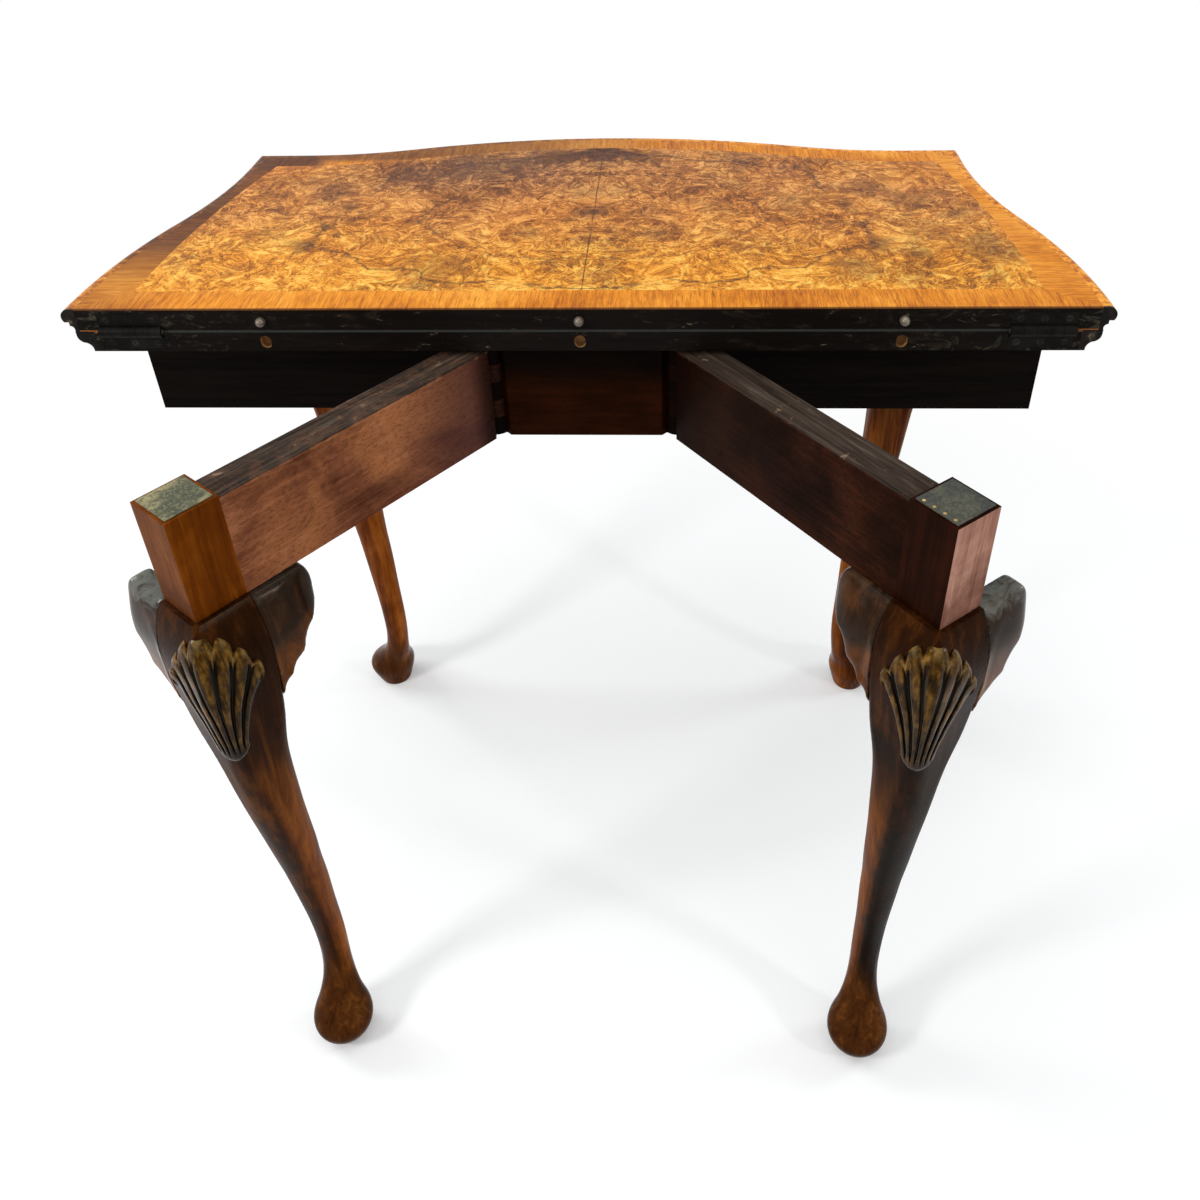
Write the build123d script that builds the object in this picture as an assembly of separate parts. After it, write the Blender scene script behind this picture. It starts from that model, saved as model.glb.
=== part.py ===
from build123d import *
import math
import os

# Folding card table with two leaves and two gate legs, in millimetres.
# +X runs along the hinge line, +Y towards the show front, +Z up from the floor.
# Pieces are laid out from the hinge line (y = 0); the last step centres the whole on its floor outline.

# Heights
table_height = 740.0
upper_leaf_thickness = 20.0
lower_leaf_thickness = 18.0
leaf_gap = 0.5            # air between the closed leaves, and between their rear edges when open
rail_height = 92.0
bead_height = 6.0
gate_rail_drop = 4.5      # gate rail top below the underside of the lower leaf
opened_leaf_gap = 0.3     # air between the opened leaf and the baize on the gate posts

# Outline of the top: the opened top has four serpentine sides
half_length = 425.6       # at the hinge line
side_bow = 51.6           # the front corner stands this far in from the hinge line's end
leaf_depth = 413.0        # at the centre of the front
front_bow = 47.0          # the front corner stands this far back from the centre of the front
side_convex_share = 0.545  # share of the side's curve that bows outwards
side_flat = 36.0
front_convex_share = 0.660
front_flat = 59.0

# Moulded edges, as insets from the widest line of the upper leaf
upper_core_inset = 12.0
lower_core_inset = 24.0
nose_round = 7.5
nose_return = 1.6
nose_return_height = 8.4
fillet_inset = 5.2
fillet_height = 5.1
seam_inset = 8.0
lower_foot_inset = 19.0
lower_lip = 3.5
lower_foot_lip = 1.5
glue_gap = 0.05

# Veneers and baize
veneer = 1.0
rear_band = 33.0
side_band_rear = 49.6
side_band_middle = 57.6
side_band_front = 31.0
burr_middle_share = 0.436  # where the side band is widest, as a share of the leaf's depth
front_band = 38.0
border_inset = 62.0

# Leaf hinges and alignment pegs
hinge_end_inset = 55.6    # hinge centre from the end of the hinge line
hinge_length = 52.0
plate_reach = 16.0
plate_thickness = 2.0
knuckle_radius = 5.0
knuckle_count = 5
knuckle_gap = 0.3
scoop_gap = 0.3
hinge_pin_radius = 2.0
running_gap = 0.05
peg_end_inset = 165.6     # outer pegs from the ends of the hinge line
peg_radius = 4.0
peg_drop = 9.3            # peg axis from the fold axis
peg_reach = 6.0
peg_bed = 12.0
socket_play = 1.2

# Carcase
rail_inset = 28.5
rail_thickness = 22.0
bead_projection = 2.5
bead_round = 2.4
back_rail_setback = 58.0
front_post = 42.0
glue_block_side = 22.0
glue_block_length = 46.0
glue_block_spacing = 130.0

# Gates
gate_axis_half = 81.4
gate_axis_setback = 29.0
gate_rail_thickness = 30.0
gate_end_inset = 30.6     # closed gate's post from the end of the hinge line
gate_open_angle = 52.5
finger_count = 5
finger_gap = 0.4
barrel_gap = 0.3
shoulder_gap = 0.15
gate_pin_radius = 4.0
packing_half = 62.0
tenon_length = 22.0
tenon_thickness = 10.0
tenon_shoulder = 10.0
pad_inset = 2.5
pad_thickness = 1.0

# Cabriole legs
knee_width = 57.5
ear_length = 50.5
ear_height = 100.0
ear_backing = 15.0
ear_tip_projection = 4.0
ear_clearance = 1.0

# Carved shells on the knees
shell_half_width = 33.5
shell_height = 122.0
shell_drop = 13.5         # top of the shell below the knee top
shell_relief = 3.6        # ribs stand this far off the knee
shell_groove_relief = 1.5
shell_groove_half = 0.9   # half the width of a groove
shell_bed_gap = 0.3

overrun = 60.0            # cutters run past what they cut

# Sections of a leg from the floor up. Height is a share of the knee top; width and set-out along
# each face are shares of the knee width; the rounding of the outward corner and of the other
# three corners are shares of the section's width.
leg_section_shares = [
    (0.000, 0.701, -0.075, 0.495, 0.495),
    (0.013, 0.830, -0.060, 0.495, 0.495),
    (0.030, 0.973, -0.040, 0.495, 0.495),
    (0.050, 1.038, -0.050, 0.495, 0.495),
    (0.070, 0.896, -0.113, 0.495, 0.495),
    (0.090, 0.703, -0.210, 0.495, 0.495),
    (0.115, 0.558, -0.318, 0.495, 0.495),
    (0.150, 0.492, -0.397, 0.495, 0.495),
    (0.197, 0.488, -0.435, 0.495, 0.495),
    (0.276, 0.513, -0.400, 0.490, 0.490),
    (0.357, 0.572, -0.332, 0.485, 0.485),
    (0.432, 0.618, -0.249, 0.480, 0.480),
    (0.510, 0.695, -0.157, 0.470, 0.470),
    (0.584, 0.745, -0.059, 0.445, 0.445),
    (0.658, 0.800, 0.024, 0.400, 0.400),
    (0.723, 0.843, 0.077, 0.340, 0.340),
    (0.773, 0.890, 0.103, 0.290, 0.220),
    (0.822, 0.945, 0.1145, 0.240, 0.100),
    (0.871, 0.986, 0.130, 0.200, 0.040),
    (0.920, 1.012, 0.141, 0.160, 0.020),
    (0.962, 0.957, 0.1135, 0.120, 0.020),
    (0.987, 0.870, 0.070, 0.080, 0.020),
    (1.000, 0.800, 0.035, 0.060, 0.020),
]

# Ear outline from the rail down to the leg. Places along the ear from its joint, and down from
# its top, are shares of its length and height; the nose ends in a small step.
ear_nose_shares = [
    (0.87, 0.00), (0.97, 0.06), (1.00, 0.20), (0.91, 0.36), (0.745, 0.47), (0.61, 0.57), (0.54, 0.69),
]
ear_hollow_shares = [(0.52, 0.70), (0.34, 0.745), (0.20, 0.80), (0.09, 0.88), (0.00, 1.00)]

# Right half of a shell, as shares of its half width and height above its foot. The rim runs from
# the middle rib's notch out to the widest place, through the top of a lobe and a notch in turn;
# a groove runs down from each notch but the last.
shell_rim_shares = [
    (0.26, 0.945), (0.43, 0.985), (0.57, 0.885), (0.72, 0.90), (0.83, 0.79), (0.97, 0.745), (0.98, 0.64),
]
shell_side_shares = [(0.98, 0.64), (0.64, 0.43), (0.42, 0.22), (0.36, 0.11)]
shell_groove_shares = [
    [(0.26, 0.96), (0.14, 0.63), (0.09, 0.43), (0.054, 0.15)],
    [(0.57, 0.90), (0.415, 0.63), (0.27, 0.43), (0.163, 0.15)],
    [(0.83, 0.81), (0.69, 0.63), (0.46, 0.43), (0.271, 0.15)],
]

corner_half_length = half_length - side_bow
corner_depth = leaf_depth - front_bow
burr_rear_half = half_length - side_band_rear
burr_middle_half = half_length - side_band_middle
burr_front_half = corner_half_length - side_band_front
burr_middle_depth = leaf_depth * burr_middle_share
hinge_centre = half_length - hinge_end_inset
peg_spacing = half_length - peg_end_inset
gate_reach = half_length - gate_end_inset - gate_axis_half   # gate axis to the outer face of the post

leaf_top = table_height
fold_z = table_height - upper_leaf_thickness - leaf_gap / 2
upper_bottom = fold_z + leaf_gap / 2
lower_top = fold_z - leaf_gap / 2
lower_bottom = lower_top - lower_leaf_thickness
rear_edge = leaf_gap / 2
rail_bottom = lower_bottom - rail_height
gate_rail_top = lower_bottom - gate_rail_drop
opened_underside = fold_z - leaf_gap / 2 - upper_leaf_thickness
pad_top = opened_underside - opened_leaf_gap
gate_post_top = pad_top - pad_thickness


def half_space(y_from):
    """Everything in front of a line parallel to the hinge line."""
    reach = half_length + leaf_depth
    return Pos(0, y_from + reach / 2) * Rectangle(2 * reach, reach)


def band(y_from, y_to):
    """A strip across the table between two depths."""
    return Pos(0, (y_from + y_to) / 2) * Rectangle(2 * (half_length + overrun), y_to - y_from)


def slab(face, z_from, z_to):
    """A flat piece with this outline."""
    return extrude(Pos(0, 0, z_from) * face, z_to - z_from)


def block(x_from, x_to, y_from, y_to, z_from, z_to):
    """A squared piece between these limits."""
    size = (x_to - x_from, y_to - y_from, z_to - z_from)
    middle = ((x_from + x_to) / 2, (y_from + y_to) / 2, (z_from + z_to) / 2)
    return Pos(*middle) * Box(*size)


def mirrored(piece):
    """The same piece on the other side of the table."""
    return mirror(piece, about=Plane.YZ)


# Outline of the opened top
def side_edges():
    """Right side, from the hinge line to the front corner: convex arc, concave arc, flat."""
    run = corner_depth - side_flat
    start = (half_length, 0)
    turn = (half_length - side_bow * side_convex_share, run * side_convex_share)
    flat_start = (corner_half_length, run)
    return [
        TangentArc(start, turn, tangent=(0, 1)),
        TangentArc(flat_start, turn, tangent=(0, -1)),
        Line(flat_start, (corner_half_length, corner_depth)),
    ]


def front_edges():
    """Right half of the front, from the corner to the centre: flat, concave arc, convex arc."""
    run = corner_half_length - front_flat
    flat_end = (run, corner_depth)
    turn = (run * front_convex_share, leaf_depth - front_bow * front_convex_share)
    return [
        Line((corner_half_length, corner_depth), flat_end),
        TangentArc(flat_end, turn, tangent=(-1, 0)),
        TangentArc((0, leaf_depth), turn, tangent=(1, 0)),
    ]


def opened_outline():
    """Face of the whole opened top."""
    quarter = side_edges() + front_edges()
    half = quarter + [mirror(edge, about=Plane.YZ) for edge in quarter]
    whole = half + [mirror(edge, about=Plane.XZ) for edge in half]
    return make_face(whole)


full_face = opened_outline()


def leaf_face(inset):
    """One leaf's outline, drawn in from the widest line, and cut square at the hinge line."""
    return offset(full_face, -inset) & half_space(rear_edge)


# Moulded edge strips
def upper_profile():
    """Rounded nose, small return, fillet and hollow, as height and set-out."""
    top = upper_leaf_thickness
    nose = top - nose_round
    edges = [
        Line((0, -upper_core_inset), (top, -upper_core_inset)),
        Line((top, -upper_core_inset), (top, -nose_round)),
        TangentArc((top, -nose_round), (nose, 0), tangent=(0, 1)),
        TangentArc((nose, 0), (nose_return_height, -nose_return), tangent=(-1, 0)),
        Line((nose_return_height, -nose_return), (nose_return_height, -fillet_inset)),
        Line((nose_return_height, -fillet_inset), (fillet_height, -fillet_inset)),
        TangentArc((fillet_height, -fillet_inset), (0, -seam_inset), tangent=(0, -1)),
        Line((0, -seam_inset), (0, -upper_core_inset)),
    ]
    return make_face(edges)


def lower_profile():
    """Small lip, then an ogee that runs in to the underside."""
    top = lower_leaf_thickness
    lip = (top - lower_lip, -seam_inset)
    foot = (lower_foot_lip, -lower_foot_inset)
    middle = ((lip[0] + foot[0]) / 2, (lip[1] + foot[1]) / 2)
    edges = [
        Line((0, -lower_core_inset), (top, -lower_core_inset)),
        Line((top, -lower_core_inset), (top, -seam_inset)),
        Line((top, -seam_inset), lip),
        TangentArc(lip, middle, tangent=(-1, 0)),
        TangentArc(foot, middle, tangent=(1, 0)),
        Line(foot, (0, -lower_foot_inset)),
        Line((0, -lower_foot_inset), (0, -lower_core_inset)),
    ]
    return make_face(edges)


def run_moulding(profile, edges, height):
    """Sweep a profile along part of the outline."""
    path = Wire(edges).moved(Location((0, 0, height)))
    start = Plane(origin=path @ 0, x_dir=(0, 0, 1), z_dir=path % 0)
    return sweep(start * profile, path)


def mitre_wedge(z_from, z_to):
    """The part of the table that lies on the front's side of both mitred corners."""
    inner = lower_core_inset + overrun
    outer = overrun
    left_in = (-corner_half_length + inner, corner_depth - inner)
    right_in = (corner_half_length - inner, corner_depth - inner)
    left_out = (-corner_half_length - outer, corner_depth + outer)
    right_out = (corner_half_length + outer, corner_depth + outer)
    outline = make_face(Polyline(left_in, right_in, right_out, left_out, close=True))
    return slab(outline, z_from, z_to)


def mouldings(profile, height, thickness):
    """Right, front and left strips, mitred at the front corners."""
    wedge = mitre_wedge(height - overrun, height + thickness + overrun)
    leaf = slab(half_space(rear_edge), height - overrun, height + thickness + overrun)
    right = (run_moulding(profile, side_edges(), height) & leaf) - wedge
    front_half = run_moulding(profile, front_edges(), height) & wedge
    front = front_half + mirrored(front_half)
    return right, front, mirrored(right)


# Leaf hinges
def hinge_barrel(radius, index_list):
    """Knuckles of one plate, on the fold axis, centred on x = 0."""
    pitch = (hinge_length - (knuckle_count - 1) * knuckle_gap) / knuckle_count
    knuckles = []
    for index in index_list:
        start = -hinge_length / 2 + index * (pitch + knuckle_gap)
        barrel = Cylinder(radius, pitch, rotation=(0, 90, 0))
        knuckles.append(Pos(start + pitch / 2, 0, fold_z) * barrel)
    return knuckles


def hinge_plate(direction, index_list):
    """One plate let into a rear edge; direction is +1 for the upper leaf and -1 for the lower."""
    half = hinge_length / 2
    back = rear_edge + plate_thickness
    clear = knuckle_radius + scoop_gap
    low, high = sorted((fold_z + direction * clear, fold_z + direction * plate_reach))
    plate = block(-half, half, rear_edge, back, low, high)
    for knuckle in hinge_barrel(knuckle_radius, index_list):
        box = knuckle.bounding_box()
        tab_low, tab_high = sorted((fold_z, fold_z + direction * clear))
        plate += knuckle
        plate += block(box.min.X, box.max.X, rear_edge, back, tab_low, tab_high)
    return plate - Pos(0, 0, fold_z) * Cylinder(
        hinge_pin_radius + running_gap, 2 * hinge_length, rotation=(0, 90, 0)
    )


def hinge_recess():
    """Space that both plates and the barrel need in the rear edges, at both ends of the leaf."""
    half = hinge_length / 2 + scoop_gap
    back = rear_edge + plate_thickness
    reach = plate_reach + scoop_gap
    bed = block(-half, half, rear_edge - overrun, back, fold_z - reach, fold_z + reach)
    scoop = Pos(0, 0, fold_z) * Cylinder(knuckle_radius + scoop_gap, 2 * half, rotation=(0, 90, 0))
    cut = bed + scoop
    return Pos(hinge_centre, 0, 0) * cut + Pos(-hinge_centre, 0, 0) * cut


def on_both_sides(piece):
    """Right and left copies of a piece drawn at x = 0, at the hinge centres."""
    return Pos(hinge_centre, 0, 0) * piece, Pos(-hinge_centre, 0, 0) * piece


# Alignment pegs and their sockets
peg_places = [-peg_spacing, 0.0, peg_spacing]


def peg(x):
    """A round peg with a rounded end, bedded in the upper leaf's rear edge."""
    shank = peg_reach + peg_bed - peg_radius
    body = Pos(0, 0, shank / 2) * Cylinder(peg_radius, shank)
    end = Pos(0, 0, shank) * Sphere(peg_radius)
    upright = body + end
    return Pos(x, rear_edge + peg_bed, fold_z + peg_drop) * Rot(90, 0, 0) * upright


def peg_bore(x):
    """Bore in the upper leaf for one peg."""
    bore = Cylinder(peg_radius + glue_gap, 2 * (peg_bed + glue_gap), rotation=(90, 0, 0))
    return Pos(x, rear_edge, fold_z + peg_drop) * bore


def peg_socket(x):
    """Upright slot in the lower leaf that the swinging peg enters without touching."""
    sweep_radius = math.hypot(peg_reach, peg_drop + peg_radius)
    top = fold_z - (peg_drop - peg_radius) + socket_play
    bottom = fold_z - sweep_radius - socket_play
    half = peg_radius + socket_play / 2
    depth = peg_reach + socket_play
    slot = Rectangle(2 * half, top - bottom)
    rounded = fillet(slot.vertices(), half - glue_gap)
    opening = Plane(origin=(x, rear_edge, (top + bottom) / 2), x_dir=(1, 0, 0), z_dir=(0, 1, 0))
    return extrude(opening * rounded, depth) + extrude(opening * rounded, -overrun)


# Veneer on the show face
def burr_corner():
    """Front corner of the burr panel."""
    return burr_front_half, corner_depth - front_band


def burr_face():
    """Burr panel: sides bowed a little, front parallel to the front of the table."""
    ahead = (0, leaf_depth)
    right = ThreePointArc((burr_rear_half, rear_band), (burr_middle_half, burr_middle_depth), burr_corner())
    outline = make_face([
        Line((-burr_rear_half, rear_band), (burr_rear_half, rear_band)),
        right,
        Line(burr_corner(), ahead),
        Line(ahead, (-burr_front_half, corner_depth - front_band)),
        mirror(right, about=Plane.YZ),
    ])
    return outline & Pos(0, -front_band) * full_face


def top_veneers():
    """Two burr halves and four crossbands, mitred at the corners of the burr."""
    burr = burr_face()
    low, high = leaf_top - veneer, leaf_top
    reach = half_length + overrun
    right_side = Pos(reach / 2 + glue_gap / 2, 0) * Rectangle(reach, 2 * reach)
    burr_right = slab(burr & right_side, low, high)
    ring = leaf_face(upper_core_inset) - offset(burr, glue_gap)
    rear_corner = (half_length - upper_core_inset, rear_edge)
    front_corner = (corner_half_length - upper_core_inset, corner_depth - upper_core_inset)
    right_outline = make_face(Polyline(
        (0, burr_middle_depth),
        (burr_rear_half, rear_band),
        rear_corner,
        (reach, rear_edge),
        (reach, corner_depth),
        front_corner,
        burr_corner(),
        close=True,
    ))
    right_band = ring & right_outline
    ends = right_outline + mirror(right_outline, about=Plane.YZ)
    rear_face = (ring & band(rear_edge, rear_band)) - ends
    front_face = (ring & band(rear_band, leaf_depth)) - ends
    right = slab(right_band, low, high)
    return {
        "burr_veneer_right": burr_right,
        "burr_veneer_left": mirrored(burr_right),
        "crossband_rear": slab(rear_face, low, high),
        "crossband_front": slab(front_face, low, high),
        "crossband_right": right,
        "crossband_left": mirrored(right),
    }


# Carcase
def ring_face(inset, width):
    """Strip that follows the outline, between two insets."""
    return offset(full_face, -inset) - offset(full_face, -inset - width)


def bead_ring():
    """Cock bead all round, its outer edge rounded above and below."""
    bead_top = rail_bottom + bead_height
    outer = slab(offset(full_face, bead_projection - rail_inset), rail_bottom, bead_top)
    levels = outer.edges().group_by(Axis.Z)
    rounded = fillet(levels[0] + levels[-1], bead_round)
    return rounded - slab(offset(full_face, -rail_inset - rail_thickness), rail_bottom, bead_top)


def carcase_rails():
    """Back, side and front rails and the bead below the side and front rails."""
    post_out_x = corner_half_length - rail_inset
    post_out_y = corner_depth - rail_inset
    post_in_x = post_out_x - front_post
    post_in_y = post_out_y - front_post
    rail_back = back_rail_setback + rail_thickness
    inside = offset(full_face, -rail_inset)
    back = slab(inside & band(back_rail_setback, rail_back), rail_bottom, lower_bottom)
    rails = ring_face(rail_inset, rail_thickness)
    beads = bead_ring()
    right_half = Pos(half_length / 2 + overrun / 2, 0) * Rectangle(half_length + overrun, 4 * leaf_depth)
    side_strip = band(rail_back, post_in_y) & right_half
    front_strip = Pos(0, leaf_depth) * Rectangle(2 * post_in_x, 2 * (leaf_depth - post_in_y))
    bead_top = rail_bottom + bead_height
    side = slab(rails & side_strip, bead_top, lower_bottom)
    front = slab(rails & front_strip, bead_top, lower_bottom)
    side_bead = beads & slab(side_strip, rail_bottom, bead_top)
    front_bead = beads & slab(front_strip, rail_bottom, bead_top)
    return {
        "back_rail": back,
        "right_side_rail": side,
        "left_side_rail": mirrored(side),
        "front_rail": front,
        "right_cock_bead": side_bead,
        "left_cock_bead": mirrored(side_bead),
        "front_cock_bead": front_bead,
    }


def glue_blocks():
    """Triangular blocks in the angle between the back rail and the lower leaf."""
    leg = glue_block_side
    wedge = make_face(Polyline((0, 0), (leg, 0), (0, -leg), close=True))
    inner = back_rail_setback + rail_thickness
    blocks = []
    for turn in (-2, -1, 1, 2):
        start = turn * glue_block_spacing - glue_block_length / 2
        plane = Plane(origin=(start, inner, lower_bottom), x_dir=(0, 1, 0), z_dir=(1, 0, 0))
        blocks.append(extrude(plane * wedge, glue_block_length))
    return blocks


# Cabriole legs
knee_top = rail_bottom


def leg_section(height, width, setout, outer_rounding, rounding, growth=0):
    """One section of a leg: a square with rounded corners, the outward corner to +X +Y.

    Its two outward faces stand a growth further out than the leg's own.
    """
    full = width * knee_width + growth
    half = full / 2
    outer = full * outer_rounding
    other = full * rounding
    outline = Wire([
        Line((other - half, half), (half - outer, half)),
        TangentArc((half - outer, half), (half, half - outer), tangent=(1, 0)),
        Line((half, half - outer), (half, other - half)),
        TangentArc((half, other - half), (half - other, -half), tangent=(0, -1)),
        Line((half - other, -half), (other - half, -half)),
        TangentArc((other - half, -half), (-half, other - half), tangent=(-1, 0)),
        Line((-half, other - half), (-half, half - other)),
        TangentArc((-half, half - other), (other - half, half), tangent=(0, 1)),
    ])
    place = setout * knee_width + growth / 2
    return Pos(place, place, height * knee_top) * Face(outline)


def cabriole(growth=0):
    """Knee, tapering leg and pad foot in one."""
    return loft([leg_section(*shares, growth) for shares in leg_section_shares])


def shell_points(share_list):
    """Points on the right half of a shell, from its foot."""
    return [(across * shell_half_width, up * shell_height) for across, up in share_list]


def shell_outline():
    """Scalloped outline of a shell, seen square to the knee's outward corner."""
    rim = shell_points(shell_rim_shares)
    side = shell_points(shell_side_shares)
    right = [ThreePointArc(*rim[start:start + 3]) for start in range(0, len(rim) - 1, 2)]
    right.append(Spline(*side))
    top = ThreePointArc((-rim[0][0], rim[0][1]), (0, shell_height), rim[0])
    foot = ThreePointArc(side[-1], (0, 0), (-side[-1][0], side[-1][1]))
    return make_face([top, foot] + right + [mirror(edge, about=Plane.YZ) for edge in right])


def shell_grooves():
    """Narrow strips between the ribs, on both sides."""
    strips = Sketch()
    for share_list in shell_groove_shares:
        middle = shell_points(share_list)
        outer = [(x + shell_groove_half, y) for x, y in middle]
        inner = [(x - shell_groove_half, y) for x, y in reversed(middle)]
        strip = make_face([
            Spline(*outer),
            Line(outer[-1], inner[0]),
            Spline(*inner),
            Line(inner[-1], outer[0]),
        ])
        strips += [strip, mirror(strip, about=Plane.YZ)]
    return strips


def knee_shell():
    """Ribbed shell that follows the knee over its outward corner."""
    plane = Plane(
        origin=(0, 0, knee_top - shell_drop - shell_height),
        x_dir=(-1, 1, 0),
        z_dir=(1, 1, 0),
    )
    outline = extrude(plane * shell_outline(), overrun)
    ribs = outline - extrude(plane * shell_grooves(), overrun)
    raised = cabriole(shell_relief) & ribs
    bed = cabriole(shell_groove_relief) & outline
    return (raised + bed) - cabriole(shell_bed_gap)


def ear():
    """Bracket beside the knee under a rail, running towards -X, with its outer face to +Y."""
    joint = -front_post / 2 - glue_gap
    tip = joint - ear_length
    low = knee_top - ear_height
    nose, hollow = [
        [(joint - ear_length * along, knee_top - ear_height * down) for along, down in share_list]
        for share_list in (ear_nose_shares, ear_hollow_shares)
    ]
    elevation = make_face([
        Line((joint, knee_top), nose[0]),
        Spline(*nose),
        Line(nose[-1], hollow[0]),
        Spline(*hollow),
        Line((joint, low), (joint, knee_top)),
    ])
    board_plane = Plane(origin=(0, 0, 0), x_dir=(1, 0, 0), z_dir=(0, -1, 0))
    board = extrude(board_plane * elevation, 2 * knee_width, both=True)
    rows = [row for row in leg_section_shares if row[0] * knee_top > low - ear_height / 4]
    outer = [((row[2] + row[1] / 2) * knee_width, row[0] * knee_top) for row in rows]
    inner = front_post / 2 - ear_backing
    section = make_face([
        Spline(*outer),
        Line(outer[-1], (inner, outer[-1][1])),
        Line((inner, outer[-1][1]), (inner, outer[0][1])),
        Line((inner, outer[0][1]), outer[0]),
    ])
    section_plane = Plane(origin=(joint, 0, 0), x_dir=(0, 1, 0), z_dir=(1, 0, 0))
    bar = extrude(section_plane * section, -ear_length)
    knee_out = max(point[0] for point in outer)
    tip_out = front_post / 2 + ear_tip_projection
    plan = make_face([
        Line((joint, inner), (tip, inner)),
        Line((tip, inner), (tip, tip_out)),
        TangentArc((tip, tip_out), (joint, knee_out), tangent=(1, 0)),
        Line((joint, knee_out), (joint, inner)),
    ])
    return bar & board & slab(plan, low - overrun, knee_top)


def leg_with_post(post_top):
    """Leg in one piece with its post."""
    half = front_post / 2
    return block(-half, half, -half, half, knee_top, post_top) + cabriole()


def ears():
    """The two ears of one leg: the first runs towards -X, the second towards -Y."""
    first = ear()
    return first, mirror(first, about=Plane(origin=(0, 0, 0), z_dir=(1, -1, 0)))


# Wooden knuckle joint of the gates, about a vertical axis at x = y = 0
finger_height = (gate_rail_top - rail_bottom) / finger_count


def finger_levels(first):
    """Height ranges of every second finger."""
    levels = []
    for index in range(first, finger_count, 2):
        low = rail_bottom + index * finger_height
        levels.append((low, low + finger_height))
    return levels


def knuckled_end(length, z_from, z_to, own_levels, other_levels):
    """Rail end whose barrel stands on the axis; the rail runs towards +X, its outer face to -Y."""
    radius = gate_rail_thickness / 2
    rail = block(0, length, -radius, radius, z_from, z_to)
    bevel = make_face(
        Polyline(
            (shoulder_gap, 0),
            (shoulder_gap + radius * 2, -radius * 2),
            (-radius * 2, -radius * 2),
            (-radius * 2, 0),
            close=True,
        )
    )
    rail -= slab(bevel, z_from - overrun, z_to + overrun)
    barrel_cut = radius + barrel_gap
    for low, high in own_levels:
        rail += Pos(0, 0, (low + high) / 2) * Cylinder(radius, high - low)
    for low, high in other_levels:
        height = high - low + finger_gap
        rail -= Pos(0, 0, (low + high) / 2) * Cylinder(barrel_cut, height)
    tall = z_to - z_from + 2 * overrun
    bore = Pos(0, 0, (z_from + z_to) / 2) * Cylinder(gate_pin_radius + running_gap, tall)
    return rail - bore


def gate_rail():
    """Swinging rail with its fingers and a tenon for the post."""
    shoulder = gate_reach - front_post
    rail = knuckled_end(shoulder, rail_bottom, gate_rail_top, finger_levels(1), finger_levels(0))
    half = tenon_thickness / 2
    return rail + block(
        shoulder, shoulder + tenon_length, -half, half, rail_bottom + tenon_shoulder, gate_rail_top - tenon_shoulder
    )


def fixed_block():
    """Block that carries both gates, with three fingers at each end."""
    levels = finger_levels(0)
    levels[-1] = (levels[-1][0], lower_bottom)
    others = finger_levels(1)
    half = knuckled_end(gate_axis_half, rail_bottom, lower_bottom, levels, others)
    right = Pos(gate_axis_half, gate_axis_setback, 0) * mirror(half, about=Plane.YZ)
    return right + mirrored(right)


def gate_mortise():
    """Mortise in the inner face of the right gate's post, about the post's axis."""
    half_post = front_post / 2
    half = tenon_thickness / 2 + glue_gap
    rail_line = gate_rail_thickness / 2 - half_post
    return block(
        -half_post - overrun,
        -half_post + tenon_length + glue_gap,
        rail_line - half,
        rail_line + half,
        rail_bottom + tenon_shoulder - glue_gap,
        gate_rail_top - tenon_shoulder + glue_gap,
    )


def gate_pieces(side, shell):
    """Pieces of one gate, swung open to the rest position; side is +1 right, -1 left."""
    half_post = front_post / 2
    seat = Pos(side * (gate_reach - half_post), half_post - gate_rail_thickness / 2, 0)
    pad_half = half_post - pad_inset
    rail = gate_rail()
    mortise = gate_mortise()
    first, second = ears()
    if side > 0:
        turn = Rot(0, 0, -90)
        rail_ear, end_ear = second, first
    else:
        turn = Rot(0, 0, 180)
        rail_ear, end_ear = first, second
        rail = mirrored(rail)
        mortise = mirrored(mortise)
    lowered = seat * Pos(0, 0, -ear_clearance) * turn
    closed = {
        "gate_rail": rail,
        "gate_leg": seat * ((turn * leg_with_post(gate_post_top)) - mortise),
        "gate_rail_ear": lowered * rail_ear,
        "gate_end_ear": lowered * end_ear,
        "gate_leg_shell": seat * turn * shell,
        "gate_baize_pad": seat * block(-pad_half, pad_half, -pad_half, pad_half, gate_post_top, pad_top),
    }
    swing = Pos(side * gate_axis_half, gate_axis_setback, 0) * Rot(0, 0, -side * gate_open_angle)
    return {name: swing * piece for name, piece in closed.items()}


def gate_pins():
    """Steel pins of both gates, from the top finger down to the bottom one."""
    height = lower_bottom - rail_bottom
    pin = Pos(gate_axis_half, gate_axis_setback, rail_bottom + height / 2) * Cylinder(gate_pin_radius, height)
    return pin, mirrored(pin)


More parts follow.
